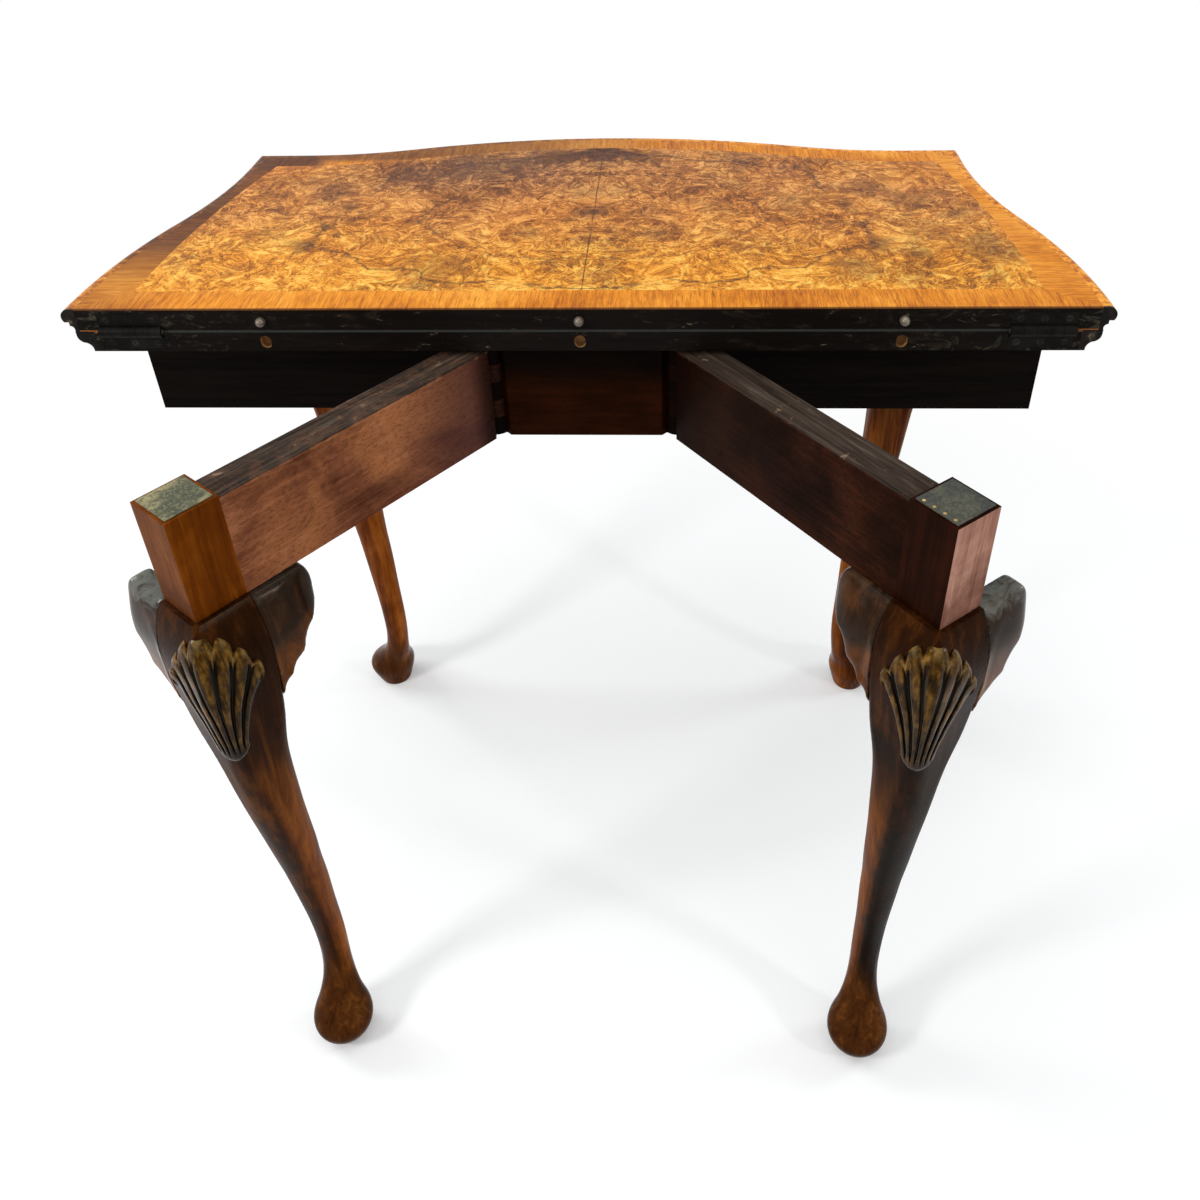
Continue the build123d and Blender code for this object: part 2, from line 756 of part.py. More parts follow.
# All pieces
def build():
    """Every named piece, in the hinge-line frame."""
    pieces = {}
    recess = hinge_recess()
    upper_face = leaf_face(upper_core_inset + glue_gap)
    lower_face = leaf_face(lower_core_inset + glue_gap)
    upper_core = slab(upper_face, upper_bottom + veneer, leaf_top - veneer) - recess
    lower_core = slab(lower_face, lower_bottom, lower_top - veneer) - recess
    for x in peg_places:
        upper_core -= peg_bore(x)
        lower_core -= peg_socket(x)
    pieces["upper_leaf_core"] = upper_core
    pieces["lower_leaf_core"] = lower_core
    names = ("right", "front", "left")
    for name, strip in zip(names, mouldings(upper_profile(), upper_bottom, upper_leaf_thickness)):
        pieces[f"upper_moulding_{name}"] = strip
    for name, strip in zip(names, mouldings(lower_profile(), lower_bottom, lower_leaf_thickness)):
        pieces[f"lower_moulding_{name}"] = strip
    for name, piece in top_veneers().items():
        pieces[name] = piece
    baize = leaf_face(border_inset + glue_gap)
    middle = leaf_face(border_inset)
    levels = {"upper": (upper_face, upper_bottom), "lower": (lower_face, lower_top - veneer)}
    for leaf, (face, level) in levels.items():
        pieces[f"{leaf}_playing_border"] = slab(face - middle, level, level + veneer) - recess
        pieces[f"{leaf}_playing_baize"] = slab(baize, level, level + veneer) - recess
    for name, x in zip(("left", "centre", "right"), peg_places):
        pieces[f"{name}_alignment_peg"] = peg(x)
    lower_right, lower_left = on_both_sides(hinge_plate(-1, [0, 2, 4]))
    upper_right, upper_left = on_both_sides(hinge_plate(1, [1, 3]))
    pin = Pos(0, 0, fold_z) * Cylinder(hinge_pin_radius, hinge_length, rotation=(0, 90, 0))
    pin_right, pin_left = on_both_sides(pin)
    pieces["right_hinge_upper_plate"] = upper_right
    pieces["left_hinge_upper_plate"] = upper_left
    pieces["right_hinge_lower_plate"] = lower_right
    pieces["left_hinge_lower_plate"] = lower_left
    pieces["right_hinge_pin"] = pin_right
    pieces["left_hinge_pin"] = pin_left
    pieces.update(carcase_rails())
    block_front = gate_axis_setback + gate_rail_thickness / 2
    pieces["centre_packing"] = block(
        -packing_half, packing_half, block_front, back_rail_setback, rail_bottom, lower_bottom
    )
    pieces["fixed_knuckle_block"] = fixed_block()
    right_pin, left_pin = gate_pins()
    pieces["right_gate_pin"] = right_pin
    pieces["left_gate_pin"] = left_pin
    pieces["glue_blocks"] = Compound(children=glue_blocks())
    post_x = corner_half_length - rail_inset - front_post / 2
    post_y = corner_depth - rail_inset - front_post / 2
    first_ear, second_ear = ears()
    front_leg = leg_with_post(lower_bottom)
    shell = knee_shell()
    for side, place, front_ear, side_ear in (
        ("right", Pos(post_x, post_y, 0), first_ear, second_ear),
        ("left", Pos(-post_x, post_y, 0) * Rot(0, 0, 90), second_ear, first_ear),
    ):
        pieces[f"{side}_front_leg"] = place * front_leg
        pieces[f"{side}_front_leg_front_ear"] = place * front_ear
        pieces[f"{side}_front_leg_side_ear"] = place * side_ear
        pieces[f"{side}_front_leg_shell"] = place * shell
    for side, name in ((1, "right"), (-1, "left")):
        for piece_name, piece in gate_pieces(side, shell).items():
            pieces[f"{name}_{piece_name}"] = piece
    return pieces


parts = build()
boxes = [piece.bounding_box() for piece in parts.values()]
depth_datum = -(min(box.min.Y for box in boxes) + max(box.max.Y for box in boxes)) / 2

os.makedirs("parts", exist_ok=True)
for name, piece in parts.items():
    placed = Pos(0, depth_datum, 0) * piece
    placed.label = name
    export_step(placed, f"parts/{name}.step")
print("depth datum", round(depth_datum, 3), "pieces", len(parts))
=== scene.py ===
import math
from functools import partialmethod

import bmesh
import bpy
import numpy as np
from mathutils import Matrix, Vector
from mathutils.bvhtree import BVHTree


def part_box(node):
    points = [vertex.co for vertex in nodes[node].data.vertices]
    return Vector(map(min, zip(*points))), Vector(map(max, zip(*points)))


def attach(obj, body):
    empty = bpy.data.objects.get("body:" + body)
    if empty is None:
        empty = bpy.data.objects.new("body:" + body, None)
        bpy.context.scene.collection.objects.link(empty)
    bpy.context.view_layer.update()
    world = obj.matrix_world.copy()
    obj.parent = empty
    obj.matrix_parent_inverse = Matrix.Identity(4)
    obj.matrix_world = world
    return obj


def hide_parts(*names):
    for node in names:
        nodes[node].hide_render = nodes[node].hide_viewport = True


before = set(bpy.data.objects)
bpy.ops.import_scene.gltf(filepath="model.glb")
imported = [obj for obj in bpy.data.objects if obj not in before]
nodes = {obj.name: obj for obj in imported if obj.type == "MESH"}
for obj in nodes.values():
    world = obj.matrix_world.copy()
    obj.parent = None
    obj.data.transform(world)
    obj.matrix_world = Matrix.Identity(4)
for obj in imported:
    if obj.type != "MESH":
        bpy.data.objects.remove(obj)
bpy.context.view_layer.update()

# The table's datum: the leaves' rear edge lies on this Y, the show face of the top on this Z
rear_edge_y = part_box("upper_leaf_core")[0][1]
table_top_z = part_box("burr_veneer_left")[1][2]
GATE_ANGLE = math.radians(52.5)  # of each gate's rail to the back rail in the photo

# Camera, in metres from the leaves' rear edge, and in radians
IMAGE_PIXELS = 1200.0
SENSOR_MM = 36.0
CAMERA_PLACE = (0.0794, -0.7906, 1.1443)
CAMERA_YAW = 0.051
CAMERA_PITCH = -0.619
CAMERA_ROLL = -0.026
CAMERA_FOCAL_PIXELS = 1101.6
CAMERA_AXIS_PIXEL = (631.2, 471.2)
CAMERA_REACH = 50.0


def linked(name, data):
    """A new object in the scene."""
    made = bpy.data.objects.new(name, data)
    bpy.context.scene.collection.objects.link(made)
    return made


def make_camera():
    """The camera that took the photograph."""
    data = bpy.data.cameras.new("camera")
    camera = linked("camera", data)
    cos_yaw, sin_yaw = math.cos(CAMERA_YAW), math.sin(CAMERA_YAW)
    cos_pitch, sin_pitch = math.cos(CAMERA_PITCH), math.sin(CAMERA_PITCH)
    forward = Vector((-sin_yaw * cos_pitch, cos_yaw * cos_pitch, sin_pitch))
    level = Vector((cos_yaw, sin_yaw, 0.0))
    upright = level.cross(forward)
    right = math.cos(CAMERA_ROLL) * level + math.sin(CAMERA_ROLL) * upright
    up = math.cos(CAMERA_ROLL) * upright - math.sin(CAMERA_ROLL) * level
    turn = Matrix((right, up, -forward)).transposed().to_4x4()
    place = Vector(CAMERA_PLACE) + Vector((0.0, rear_edge_y, 0.0))
    camera.matrix_world = Matrix.Translation(place) @ turn
    data.sensor_width = SENSOR_MM
    data.lens = CAMERA_FOCAL_PIXELS / IMAGE_PIXELS * SENSOR_MM
    middle = IMAGE_PIXELS / 2
    data.shift_x = (middle - CAMERA_AXIS_PIXEL[0]) / IMAGE_PIXELS
    data.shift_y = (CAMERA_AXIS_PIXEL[1] - middle) / IMAGE_PIXELS
    data.clip_end = CAMERA_REACH
    bpy.context.scene.camera = camera


# Materials. Their colours are written as they show on a screen, from 0 to 255.
def tone(colour):
    """A screen colour in Blender's linear values; anything else stays as it is."""
    if not isinstance(colour, tuple):
        return colour
    shares = [value / 255 for value in colour]
    return tuple(each / 12.92 if each <= 0.04045 else ((each + 0.055) / 1.055) ** 2.4 for each in shares)


class Value:
    """A node's output. Arithmetic on it adds Math nodes, and its methods add others."""

    def __init__(self, builder, socket):
        self.builder = builder
        self.socket = socket

    def math(self, operation, other=0.0):
        return self.builder.value("ShaderNodeMath", {"operation": operation}, {0: self, 1: other})

    __add__ = partialmethod(math, "ADD")
    __sub__ = partialmethod(math, "SUBTRACT")
    __mul__ = partialmethod(math, "MULTIPLY")
    __truediv__ = partialmethod(math, "DIVIDE")
    __abs__ = partialmethod(math, "ABSOLUTE")

    def __rsub__(self, other):
        return self.builder.value("ShaderNodeMath", {"operation": "SUBTRACT"}, {0: other, 1: self})

    def vector(self, operation, other, output=0):
        inputs = {0: self, 1: other}
        return self.builder.value("ShaderNodeVectorMath", {"operation": operation}, inputs, output)

    def distance(self, point):
        return self.vector("DISTANCE", point, "Value")

    def scaled(self, scale):
        """Coordinates stretched by a scale along each axis."""
        return self.vector("MULTIPLY", scale)

    def noise(self, scale, detail=4.0, roughness=0.55, distortion=0.0):
        inputs = {"Vector": self, "Scale": scale, "Detail": detail, "Roughness": roughness}
        return self.builder.value("ShaderNodeTexNoise", {}, {**inputs, "Distortion": distortion}, "Fac")

    def streaks(self, stretch, *settings):
        """Noise drawn out along the axes where the stretch is small."""
        return self.scaled(stretch).noise(*settings)

    def ramp(self, *stops):
        """This value turned into a colour, or a grey, through stops of (place, colour or grey)."""
        made = self.builder.node("ShaderNodeValToRGB", {}, {"Fac": self})
        elements = made.color_ramp.elements
        while len(elements) < len(stops):
            elements.new(0.5)
        for element, (place, colour) in zip(elements, stops):
            element.position = place
            element.color = ((colour,) * 3 if isinstance(colour, float) else tone(colour)) + (1.0,)
        return Value(self.builder, made.outputs["Color"])

    def step(self, low, high):
        """0 below low, 1 above high, smooth between; low may be the larger."""
        settings = {"interpolation_type": "SMOOTHSTEP"}
        first, last, start, end = (low, high, 0.0, 1.0) if low < high else (high, low, 1.0, 0.0)
        inputs = {"Value": self, "From Min": first, "From Max": last, "To Min": start, "To Max": end}
        return self.builder.value("ShaderNodeMapRange", settings, inputs, "Result")

    def line(self, middle, width):
        """1 where this value is at the middle, falling to 0 a width away."""
        return abs(self - middle).step(width, 0.0)

    def spot(self, centre, radius):
        """1 inside a patch with a soft ragged rim, 0 outside."""
        wander = self.noise(SPOT_RIM_SCALE, 3.0) - 0.5
        return (self.distance(centre) + wander * (radius * SPOT_RAGGED)).step(radius, radius * SPOT_CORE)

    def mix(self, amount, second):
        """This colour covered by a second one, by an amount."""
        return self.builder.mix(amount, self, second)

    def bump(self, distance, strength):
        inputs = {"Height": self, "Distance": distance, "Strength": strength}
        return self.builder.value("ShaderNodeBump", {}, inputs)


def most(largest, *others):
    """The largest of several values."""
    for other in others:
        largest = largest.math("MAXIMUM", other)
    return largest


class Builder:
    """Builds a node tree node by node."""

    def __init__(self, tree):
        self.tree = tree
        tree.nodes.clear()

    def connect(self, socket, value):
        """Link a value to a socket, or set a plain number or linear colour on it."""
        if isinstance(value, Value):
            self.tree.links.new(value.socket, socket)
        elif socket.type == "RGBA":
            socket.default_value = tuple(value) + (1.0,)
        else:
            socket.default_value = value

    def node(self, kind, settings, inputs):
        """A new node with its settings and inputs."""
        made = self.tree.nodes.new(kind)
        for key, value in settings.items():
            setattr(made, key, value)
        for key, value in inputs.items():
            self.connect(made.inputs[key], value)
        return made

    def value(self, kind, settings, inputs, output=0):
        """One output of a new node."""
        return Value(self, self.node(kind, settings, inputs).outputs[output])

    def mix(self, amount, first, second):
        inputs = {0: amount, 6: tone(first), 7: tone(second)}
        return self.value("ShaderNodeMix", {"data_type": "RGBA"}, inputs, 2)

    def seen(self):
        """1 for the rays that show the surroundings: from the camera, and by gloss or glass."""
        rays = self.node("ShaderNodeLightPath", {}, {}).outputs
        kinds = ("Is Camera Ray", "Is Glossy Ray", "Is Transmission Ray")
        return most(*(Value(self, rays[kind]) for kind in kinds))


class Recipe(Builder):
    """A procedural material in the table's own coordinates."""

    def __init__(self, name):
        self.material = bpy.data.materials.new(name)
        self.material.use_nodes = True
        super().__init__(self.material.node_tree)
        self.place = self.value("ShaderNodeTexCoord", {}, {}, "Object")

    def turned(self, angle, centre):
        """Coordinates of a piece that stands turned about an upright axis through its centre."""
        inputs = {"Vector": self.place.vector("SUBTRACT", centre), "Angle": -angle}
        return self.value("ShaderNodeVectorRotate", {"rotation_type": "Z_AXIS"}, inputs)

    def axis(self, name):
        """One coordinate."""
        return self.value("ShaderNodeSeparateXYZ", {}, {"Vector": self.place}, name)

    def inward(self):
        """Distance from the leaves' rear edge towards the front."""
        return self.axis("Y") - rear_edge_y

    def cloud(self, *settings):
        """Noise that is even in all directions."""
        return self.place.noise(*settings)

    def streaks(self, stretch, *settings):
        return self.place.streaks(stretch, *settings)

    def finish(self, colour, roughness, normal, shine=0.5, **settings):
        """Close the recipe with one shader."""
        inputs = {"Base Color": colour, "Roughness": roughness, "Normal": normal, "Specular IOR Level": shine}
        inputs.update((key.replace("_", " "), value) for key, value in settings.items())
        return self.close(self.value("ShaderNodeBsdfPrincipled", {}, inputs))

    def close(self, shader):
        self.node("ShaderNodeOutputMaterial", {}, {0: shader})
        return self.material


SPOT_RIM_SCALE = 80.0
SPOT_RAGGED = 1.6  # wander of a patch's rim, in radii
SPOT_CORE = 0.25  # radius, in radii, within which a patch is full
VARNISH_TINT = (0.75, 0.56, 0.4)  # old varnish warms what it reflects


def wood(name, tones, along="X", angle=0.0, rough=(0.32, 0.5), shine=0.1, extra=None):
    """Straight-grained wood from dark, middle and light tones: fine streaks, pores and a worn polish."""
    dark, middle, light = tones
    recipe = Recipe(name)
    local = recipe.turned(angle, (0.0, 0.0, 0.0))
    streak, pore = (tuple(1.0 if axis == along else wide for axis in "XYZ") for wide in (14.0, 9.0))
    figure = local.streaks(streak, 15.0, 6.0, 0.66, 0.3)
    broad = local.noise(9.0, 5.0, 0.6, 0.4)
    pores = local.streaks(pore, 120.0, 3.0, 0.65)
    mixed = figure * 0.36 + broad * 0.64
    colour = mixed.ramp((0.36, dark), (0.5, middle), (0.64, light))
    open_pores = pores.step(0.46, 0.36)
    colour = colour.mix(open_pores * 0.34, dark)
    if extra:
        colour = extra(recipe, local, colour)
    smear = local.noise(30.0, 4.0, 0.6, 0.5)
    roughness = smear.ramp((0.3, rough[0]), (0.7, rough[1]))
    normal = (1.0 - open_pores).bump(0.0002, 0.3)
    return recipe.finish(colour, roughness, normal, shine)


def paint(material, *names):
    """Give CAD nodes one material."""
    for name in names:
        slots = nodes[name].data.materials
        if not slots:
            slots.append(material)
        for index in range(len(slots)):
            slots[index] = material


# Burr walnut of the show face, in metres from the middle of the rear edge
BURR_CENTRE_Y = 0.195
OUTER_RING = (0.250, 0.160)
INNER_RING = (0.157, 0.106)
BURR_STOPS = (0.42, 0.5, 0.58)
BURR_NEAR = ((150, 82, 16), (236, 152, 44), (255, 206, 98))
BURR_MIDDLE = ((118, 62, 22), (206, 126, 52), (248, 180, 94))
BURR_FAR = ((52, 28, 20), (136, 82, 50), (216, 154, 92))
VEIN_TONE = (58, 32, 26)
STAIN_TONE = (84, 52, 34)
# Dark patches as x, y, radius and strength: knots on both matched halves, and stains on one
BURR_KNOTS = (
    (0.0, 0.197, 0.020, 0.6),
    (0.0, 0.355, 0.044, 0.8),
    (0.040, 0.345, 0.030, 0.6),
    (0.256, 0.124, 0.022, 0.55),
    (0.246, 0.165, 0.013, 0.5),
    (0.238, 0.215, 0.014, 0.45),
    (0.262, 0.252, 0.036, 0.4),
    (0.170, 0.175, 0.010, 0.5),
    (0.060, 0.150, 0.022, 0.35),
)
BURR_STAINS = (
    (0.345, 0.115, 0.042, 0.5),
    (0.310, 0.150, 0.030, 0.3),
    (0.290, 0.100, 0.018, 0.55),
    (0.300, 0.225, 0.034, 0.45),
    (0.345, 0.200, 0.026, 0.35),
    (0.235, 0.075, 0.034, 0.4),
    (0.372, 0.190, 0.012, 0.6),
    (-0.120, 0.320, 0.064, 0.6),
    (-0.060, 0.350, 0.046, 0.65),
    (-0.185, 0.300, 0.050, 0.4),
    (-0.130, 0.075, 0.050, 0.4),
)


class Burr(Recipe):
    """A recipe with coordinates that squirm, and that mirror at the joint of the two halves."""

    def __init__(self, name):
        super().__init__(name)
        self.x = self.axis("X")
        self.y = self.inward()
        z = self.axis("Z")
        self.free = self.value("ShaderNodeCombineXYZ", {}, {"X": self.x, "Y": self.y, "Z": z})
        self.matched = self.value("ShaderNodeCombineXYZ", {}, {"X": abs(self.x), "Y": self.y, "Z": z})
        self.swirled = self.swirl(self.swirl(self.matched, 17.0, 0.026), 62.0, 0.009)

    def swirl(self, source, scale, reach):
        """Coordinates pushed about by a soft noise."""
        inputs = {"Vector": source, "Scale": scale, "Detail": 2.0}
        field = self.value("ShaderNodeTexNoise", {}, inputs, "Color").vector("SUBTRACT", (0.5, 0.5, 0.5))
        return source.vector("ADD", field.scaled((reach * 2, reach * 2, 0.0)))

    def ring(self, size, wander_scale, wander):
        """Distance from the figure's centre, where 1 is an oval of this size with a wavy line."""
        across = self.x / size[0]
        deep = (self.y - BURR_CENTRE_Y) / size[1]
        away = (across * across + deep * deep).math("SQRT")
        return away + (self.matched.noise(wander_scale, 5.0, 0.62) - 0.5) * wander

    def patches(self, colour, source, rows, dark):
        for x, y, radius, strength in rows:
            colour = colour.mix(source.spot((x, y, table_top_z), radius) * strength, dark)
        return colour


def burr_material():
    """Book-matched burr: a fine squirming figure, oval veins, dark clouds and a knot on the joint."""
    burr = Burr("burr_walnut_figured")
    cloud = burr.swirled.noise(15.0, 5.0, 0.62, 0.5)
    squirm = burr.swirled.noise(88.0, 4.0, 0.64, 1.1)
    fine = burr.swirled.noise(210.0, 3.0, 0.66, 0.9)
    speck = burr.free.noise(520.0, 2.0, 0.7)
    mixed = cloud * 0.24 + squirm * 0.34 + fine * 0.26 + speck * 0.16
    near, middle, far = (
        mixed.ramp(*zip(BURR_STOPS, palette)) for palette in (BURR_NEAR, BURR_MIDDLE, BURR_FAR)
    )

    # Gold by the hinge line, browner beyond, purple brown inside the far half of the outer oval
    depth = burr.y + (burr.free.noise(11.0, 6.0, 0.68) - 0.5) * 0.26
    colour = near.mix(depth.step(0.07, 0.21), middle)
    outer = burr.ring(OUTER_RING, 15.0, 0.6)
    inner = burr.ring(INNER_RING, 19.0, 0.55)
    leftness = burr.x.step(0.12, -0.14) * 0.5 + 0.45
    dusk = depth.step(0.17, 0.33) * outer.step(1.45, 0.9) * leftness
    arc = outer.line(1.02, 0.2) * burr.y.step(0.22, 0.3) * (leftness * 0.6 + 0.35)
    colour = colour.mix(most(dusk, arc), far)

    # Dark threads of the figure, crowded in patches and almost gone in calm places
    crowd = burr.free.noise(13.0, 5.0, 0.66).step(0.43, 0.6)
    curl = burr.swirled.noise(46.0, 4.0, 0.62, 0.8)
    thread = most(squirm.line(0.46, 0.022), curl.line(0.52, 0.012))
    hair = fine.line(0.45, 0.03) * 0.8
    colour = colour.mix(most(thread, hair) * (crowd * 0.62 + 0.22), (66, 34, 14))
    clouded = crowd * burr.free.noise(30.0, 4.0, 0.66).step(0.44, 0.6)
    colour = colour.mix(clouded * 0.34, (104, 62, 34))
    vein_break = burr.matched.noise(21.0, 4.0, 0.6).step(0.40, 0.54)
    long_vein = burr.free.noise(9.0, 6.0, 0.66, 0.5).line(0.5, 0.007)
    rings = most(outer.line(1.0, 0.026), inner.line(1.0, 0.022) * 0.85)
    colour = colour.mix(most(rings, long_vein * 0.7) * vein_break * 0.75, VEIN_TONE)
    colour = burr.patches(colour, burr.matched, BURR_KNOTS, VEIN_TONE)
    colour = burr.patches(colour, burr.free, BURR_STAINS, STAIN_TONE)

    # The joint of the two halves
    wander = (burr.free.noise(30.0, 3.0) - 0.5) * 0.0016
    joint = abs(burr.x + wander).step(0.0009, 0.0003)
    joint = joint * burr.free.noise(60.0, 3.0).step(0.3, 0.55)
    colour = colour.mix(joint * 0.8, (60, 32, 18))
    roughness = burr.free.noise(22.0, 4.0, 0.6).ramp((0.3, 0.36), (0.7, 0.5))
    return burr.finish(colour, roughness, mixed.bump(0.0008, 0.3), 0.07)


# Distances from the rear edge, each from where the edge's tone starts to where it is full
BAND_RIM = (0.0030, 0.0008)
MOULDING_REAR = (0.0028, 0.0012)
CORE_INSIDE = (0.0006, 0.0016)  # here the other way: where the plain wood starts
BAIZE_DARK_FROM = (0.006, 0.001)
BAIZE_DARK_TO = (-0.002, -0.001)
# On a moulding: heights of the crossbanding's tone from the top of the leaf, and reach of the nose
BAND_ON_MOULDING = (-0.0036, 0.0006)
NOSE_WIDTH = 0.006


def band_colour(recipe, mixed, broad):
    """Honey to reddish brown round the top: darkest along the left side and the left of the front."""
    x = recipe.axis("X")
    y = recipe.inward()
    honey = mixed.ramp((0.38, (166, 82, 8)), (0.5, (224, 137, 30)), (0.6, (248, 172, 64)))
    brown = mixed.ramp((0.38, (42, 17, 3)), (0.5, (76, 36, 9)), (0.6, (120, 64, 22)))
    shore = y + (broad - 0.5) * 0.12
    left = x.step(-0.28, -0.31) * shore.step(0.0, 0.15)
    corner = x.step(-0.32, -0.41) * 0.4
    front = y.step(0.330, 0.350) * x.step(0.16, -0.16)
    return honey.mix(most(left, corner, front * 0.85) * 0.95, brown)


def crossband_material(name, across):
    """Crossbanding: fine grain across the strip."""
    recipe = Recipe(name)
    streak = (1.0, 14.0, 1.0) if across == "X" else (14.0, 1.0, 1.0)
    figure = recipe.streaks(streak, 20.0, 6.0, 0.65, 0.4)
    fine = recipe.streaks(streak, 75.0, 3.0, 0.6)
    broad = recipe.cloud(11.0, 4.0, 0.6)
    colour = band_colour(recipe, figure * 0.34 + fine * 0.26 + broad * 0.4, broad)
    marks = recipe.streaks(streak, 60.0, 4.0, 0.7).step(0.56, 0.66)
    colour = colour.mix(marks * 0.6, (112, 58, 20))
    colour = colour.mix(recipe.inward().step(*BAND_RIM) * 0.8, (60, 32, 16))
    roughness = recipe.cloud(25.0, 4.0).ramp((0.3, 0.34), (0.7, 0.46))
    return recipe.finish(colour, roughness, fine.bump(0.0003, 0.25), 0.07)


def ebonised(name, base, rubbed, bare):
    """Dark stained wood with soft rubbed smears and a few bare specks."""
    recipe = Recipe(name)
    streaks = recipe.streaks((1.0, 18.0, 18.0), 9.0, 6.0, 0.65, 0.4)
    smears = recipe.streaks((1.0, 3.0, 3.0), 17.0, 6.0, 0.68, 0.8)
    specks = recipe.streaks((1.0, 2.0, 2.0), 110.0, 4.0, 0.7)
    colour = streaks.ramp((0.35, base), (0.8, rubbed))
    colour = colour.mix(smears.step(0.6, 0.76) * 0.6, rubbed)
    worn = specks.step(0.68, 0.73) * smears.step(0.5, 0.62)
    colour = colour.mix(worn * 0.7, bare)
    return recipe.finish(colour, smears.ramp((0.3, 0.5), (0.7, 0.72)), smears.bump(0.0008, 0.3), 0.03)


def leaf_ground_material(name, inner_tone=None):
    """Leaf core: near-black where its edge shows at the rear, plain brown wood elsewhere."""
    recipe = Recipe(name)
    streaks = recipe.streaks((1.0, 14.0, 14.0), 9.0, 6.0, 0.65, 0.6)
    smears = recipe.streaks((1.0, 2.4, 3.0), 24.0, 6.0, 0.7, 1.0)
    chips = recipe.streaks((1.0, 2.0, 3.0), 75.0, 5.0, 0.72, 0.9)
    plain = streaks.ramp((0.3, (70, 42, 24)), (0.5, (104, 66, 38)), (0.72, (132, 88, 54)))
    black = streaks.ramp((0.35, (9, 6, 4)), (0.6, (18, 12, 9)), (0.8, (44, 33, 25)))
    black = black.mix(smears.step(0.54, 0.72) * 0.6, (58, 46, 36))
    chipped = chips.step(0.6, 0.7) * smears.step(0.48, 0.6)
    black = black.mix(chipped * 0.75, (128, 112, 92))
    ends = abs(recipe.axis("X")).step(0.2, 0.4)
    scrapes = recipe.streaks((1.0, 2.0, 2.2), 42.0, 6.0, 0.75, 1.6)
    black = black.mix(scrapes.step(0.53, 0.66) * ends * 0.6, (84, 82, 66))
    colour = black.mix(recipe.inward().step(*CORE_INSIDE), inner_tone or plain)
    return recipe.finish(colour, smears.ramp((0.3, 0.42), (0.7, 0.66)), smears.bump(0.0010, 0.4), 0.05)


def moulding_material(name, tones, nose_z, top_z=None):
    """Cross-grained walnut moulding, rubbed pale on the nose and black with scuffs at the rear ends.

    Where it borders the show face it takes the crossbanding's colour.
    """
    recipe = Recipe(name)
    z = recipe.axis("Z")
    grain = recipe.streaks((7.0, 7.0, 1.0), 22.0, 6.0, 0.65, 0.4)
    chips = recipe.cloud(70.0, 5.0, 0.7, 0.6)
    colour = grain.ramp(*zip((0.3, 0.5, 0.7), tones))
    nose = z.line(nose_z, NOSE_WIDTH) * chips.step(0.38, 0.62)
    colour = colour.mix(nose * 0.5, tones[2])
    colour = colour.mix(chips.step(0.46, 0.36) * 0.3, tones[0])
    if top_z:
        above = (z + chips * 0.003).step(*(top_z + height for height in BAND_ON_MOULDING))
        colour = colour.mix(above, band_colour(recipe, grain, chips))
    scuffs = chips.ramp((0.45, (11, 8, 6)), (0.6, (36, 29, 23)), (0.72, (110, 98, 82)))
    colour = colour.mix(recipe.inward().step(*MOULDING_REAR), scuffs)
    return recipe.finish(colour, chips.ramp((0.3, 0.3), (0.7, 0.5)), chips.bump(0.0006, 0.3), 0.1)


# Distances from the end of the centre block, from a gate's pivot and from the top of its rail,
# each from where a tone starts to where it is full
# Painted shade at the knuckle ends of the centre block
KNUCKLE_SHADE = (0.031, 0.023)
PIVOT_WORN = (0.34, 0.16)
# Painted shade by a gate's pivot, and near-black painted shade closest to it
PIVOT_SHADE = (0.15, 0.03)
PIVOT_DEEP_SHADE = (0.045, 0.022)
RAIL_TOP = (0.0012, 0.0003)
RAIL_EDGE = 0.0016
RAIL_EDGE_WIDTH = 0.0022


def block_shade(recipe, local, colour):
    """Painted shade: black under the leaves and at the knuckles."""
    low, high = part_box("fixed_knuckle_block")
    height = high[2] - low[2]
    # Painted shade: near-black high up under the leaves and at both knuckle ends
    level = recipe.axis("Z") + local.noise(30.0, 3.0) * 0.008
    deep = level.step(low[2] + height * 0.5, low[2] + height * 0.85)
    ends = abs(recipe.axis("X")).step(*(high[0] - inset for inset in KNUCKLE_SHADE))
    return colour.mix(most(deep, ends) * 0.9, (3, 2, 1))


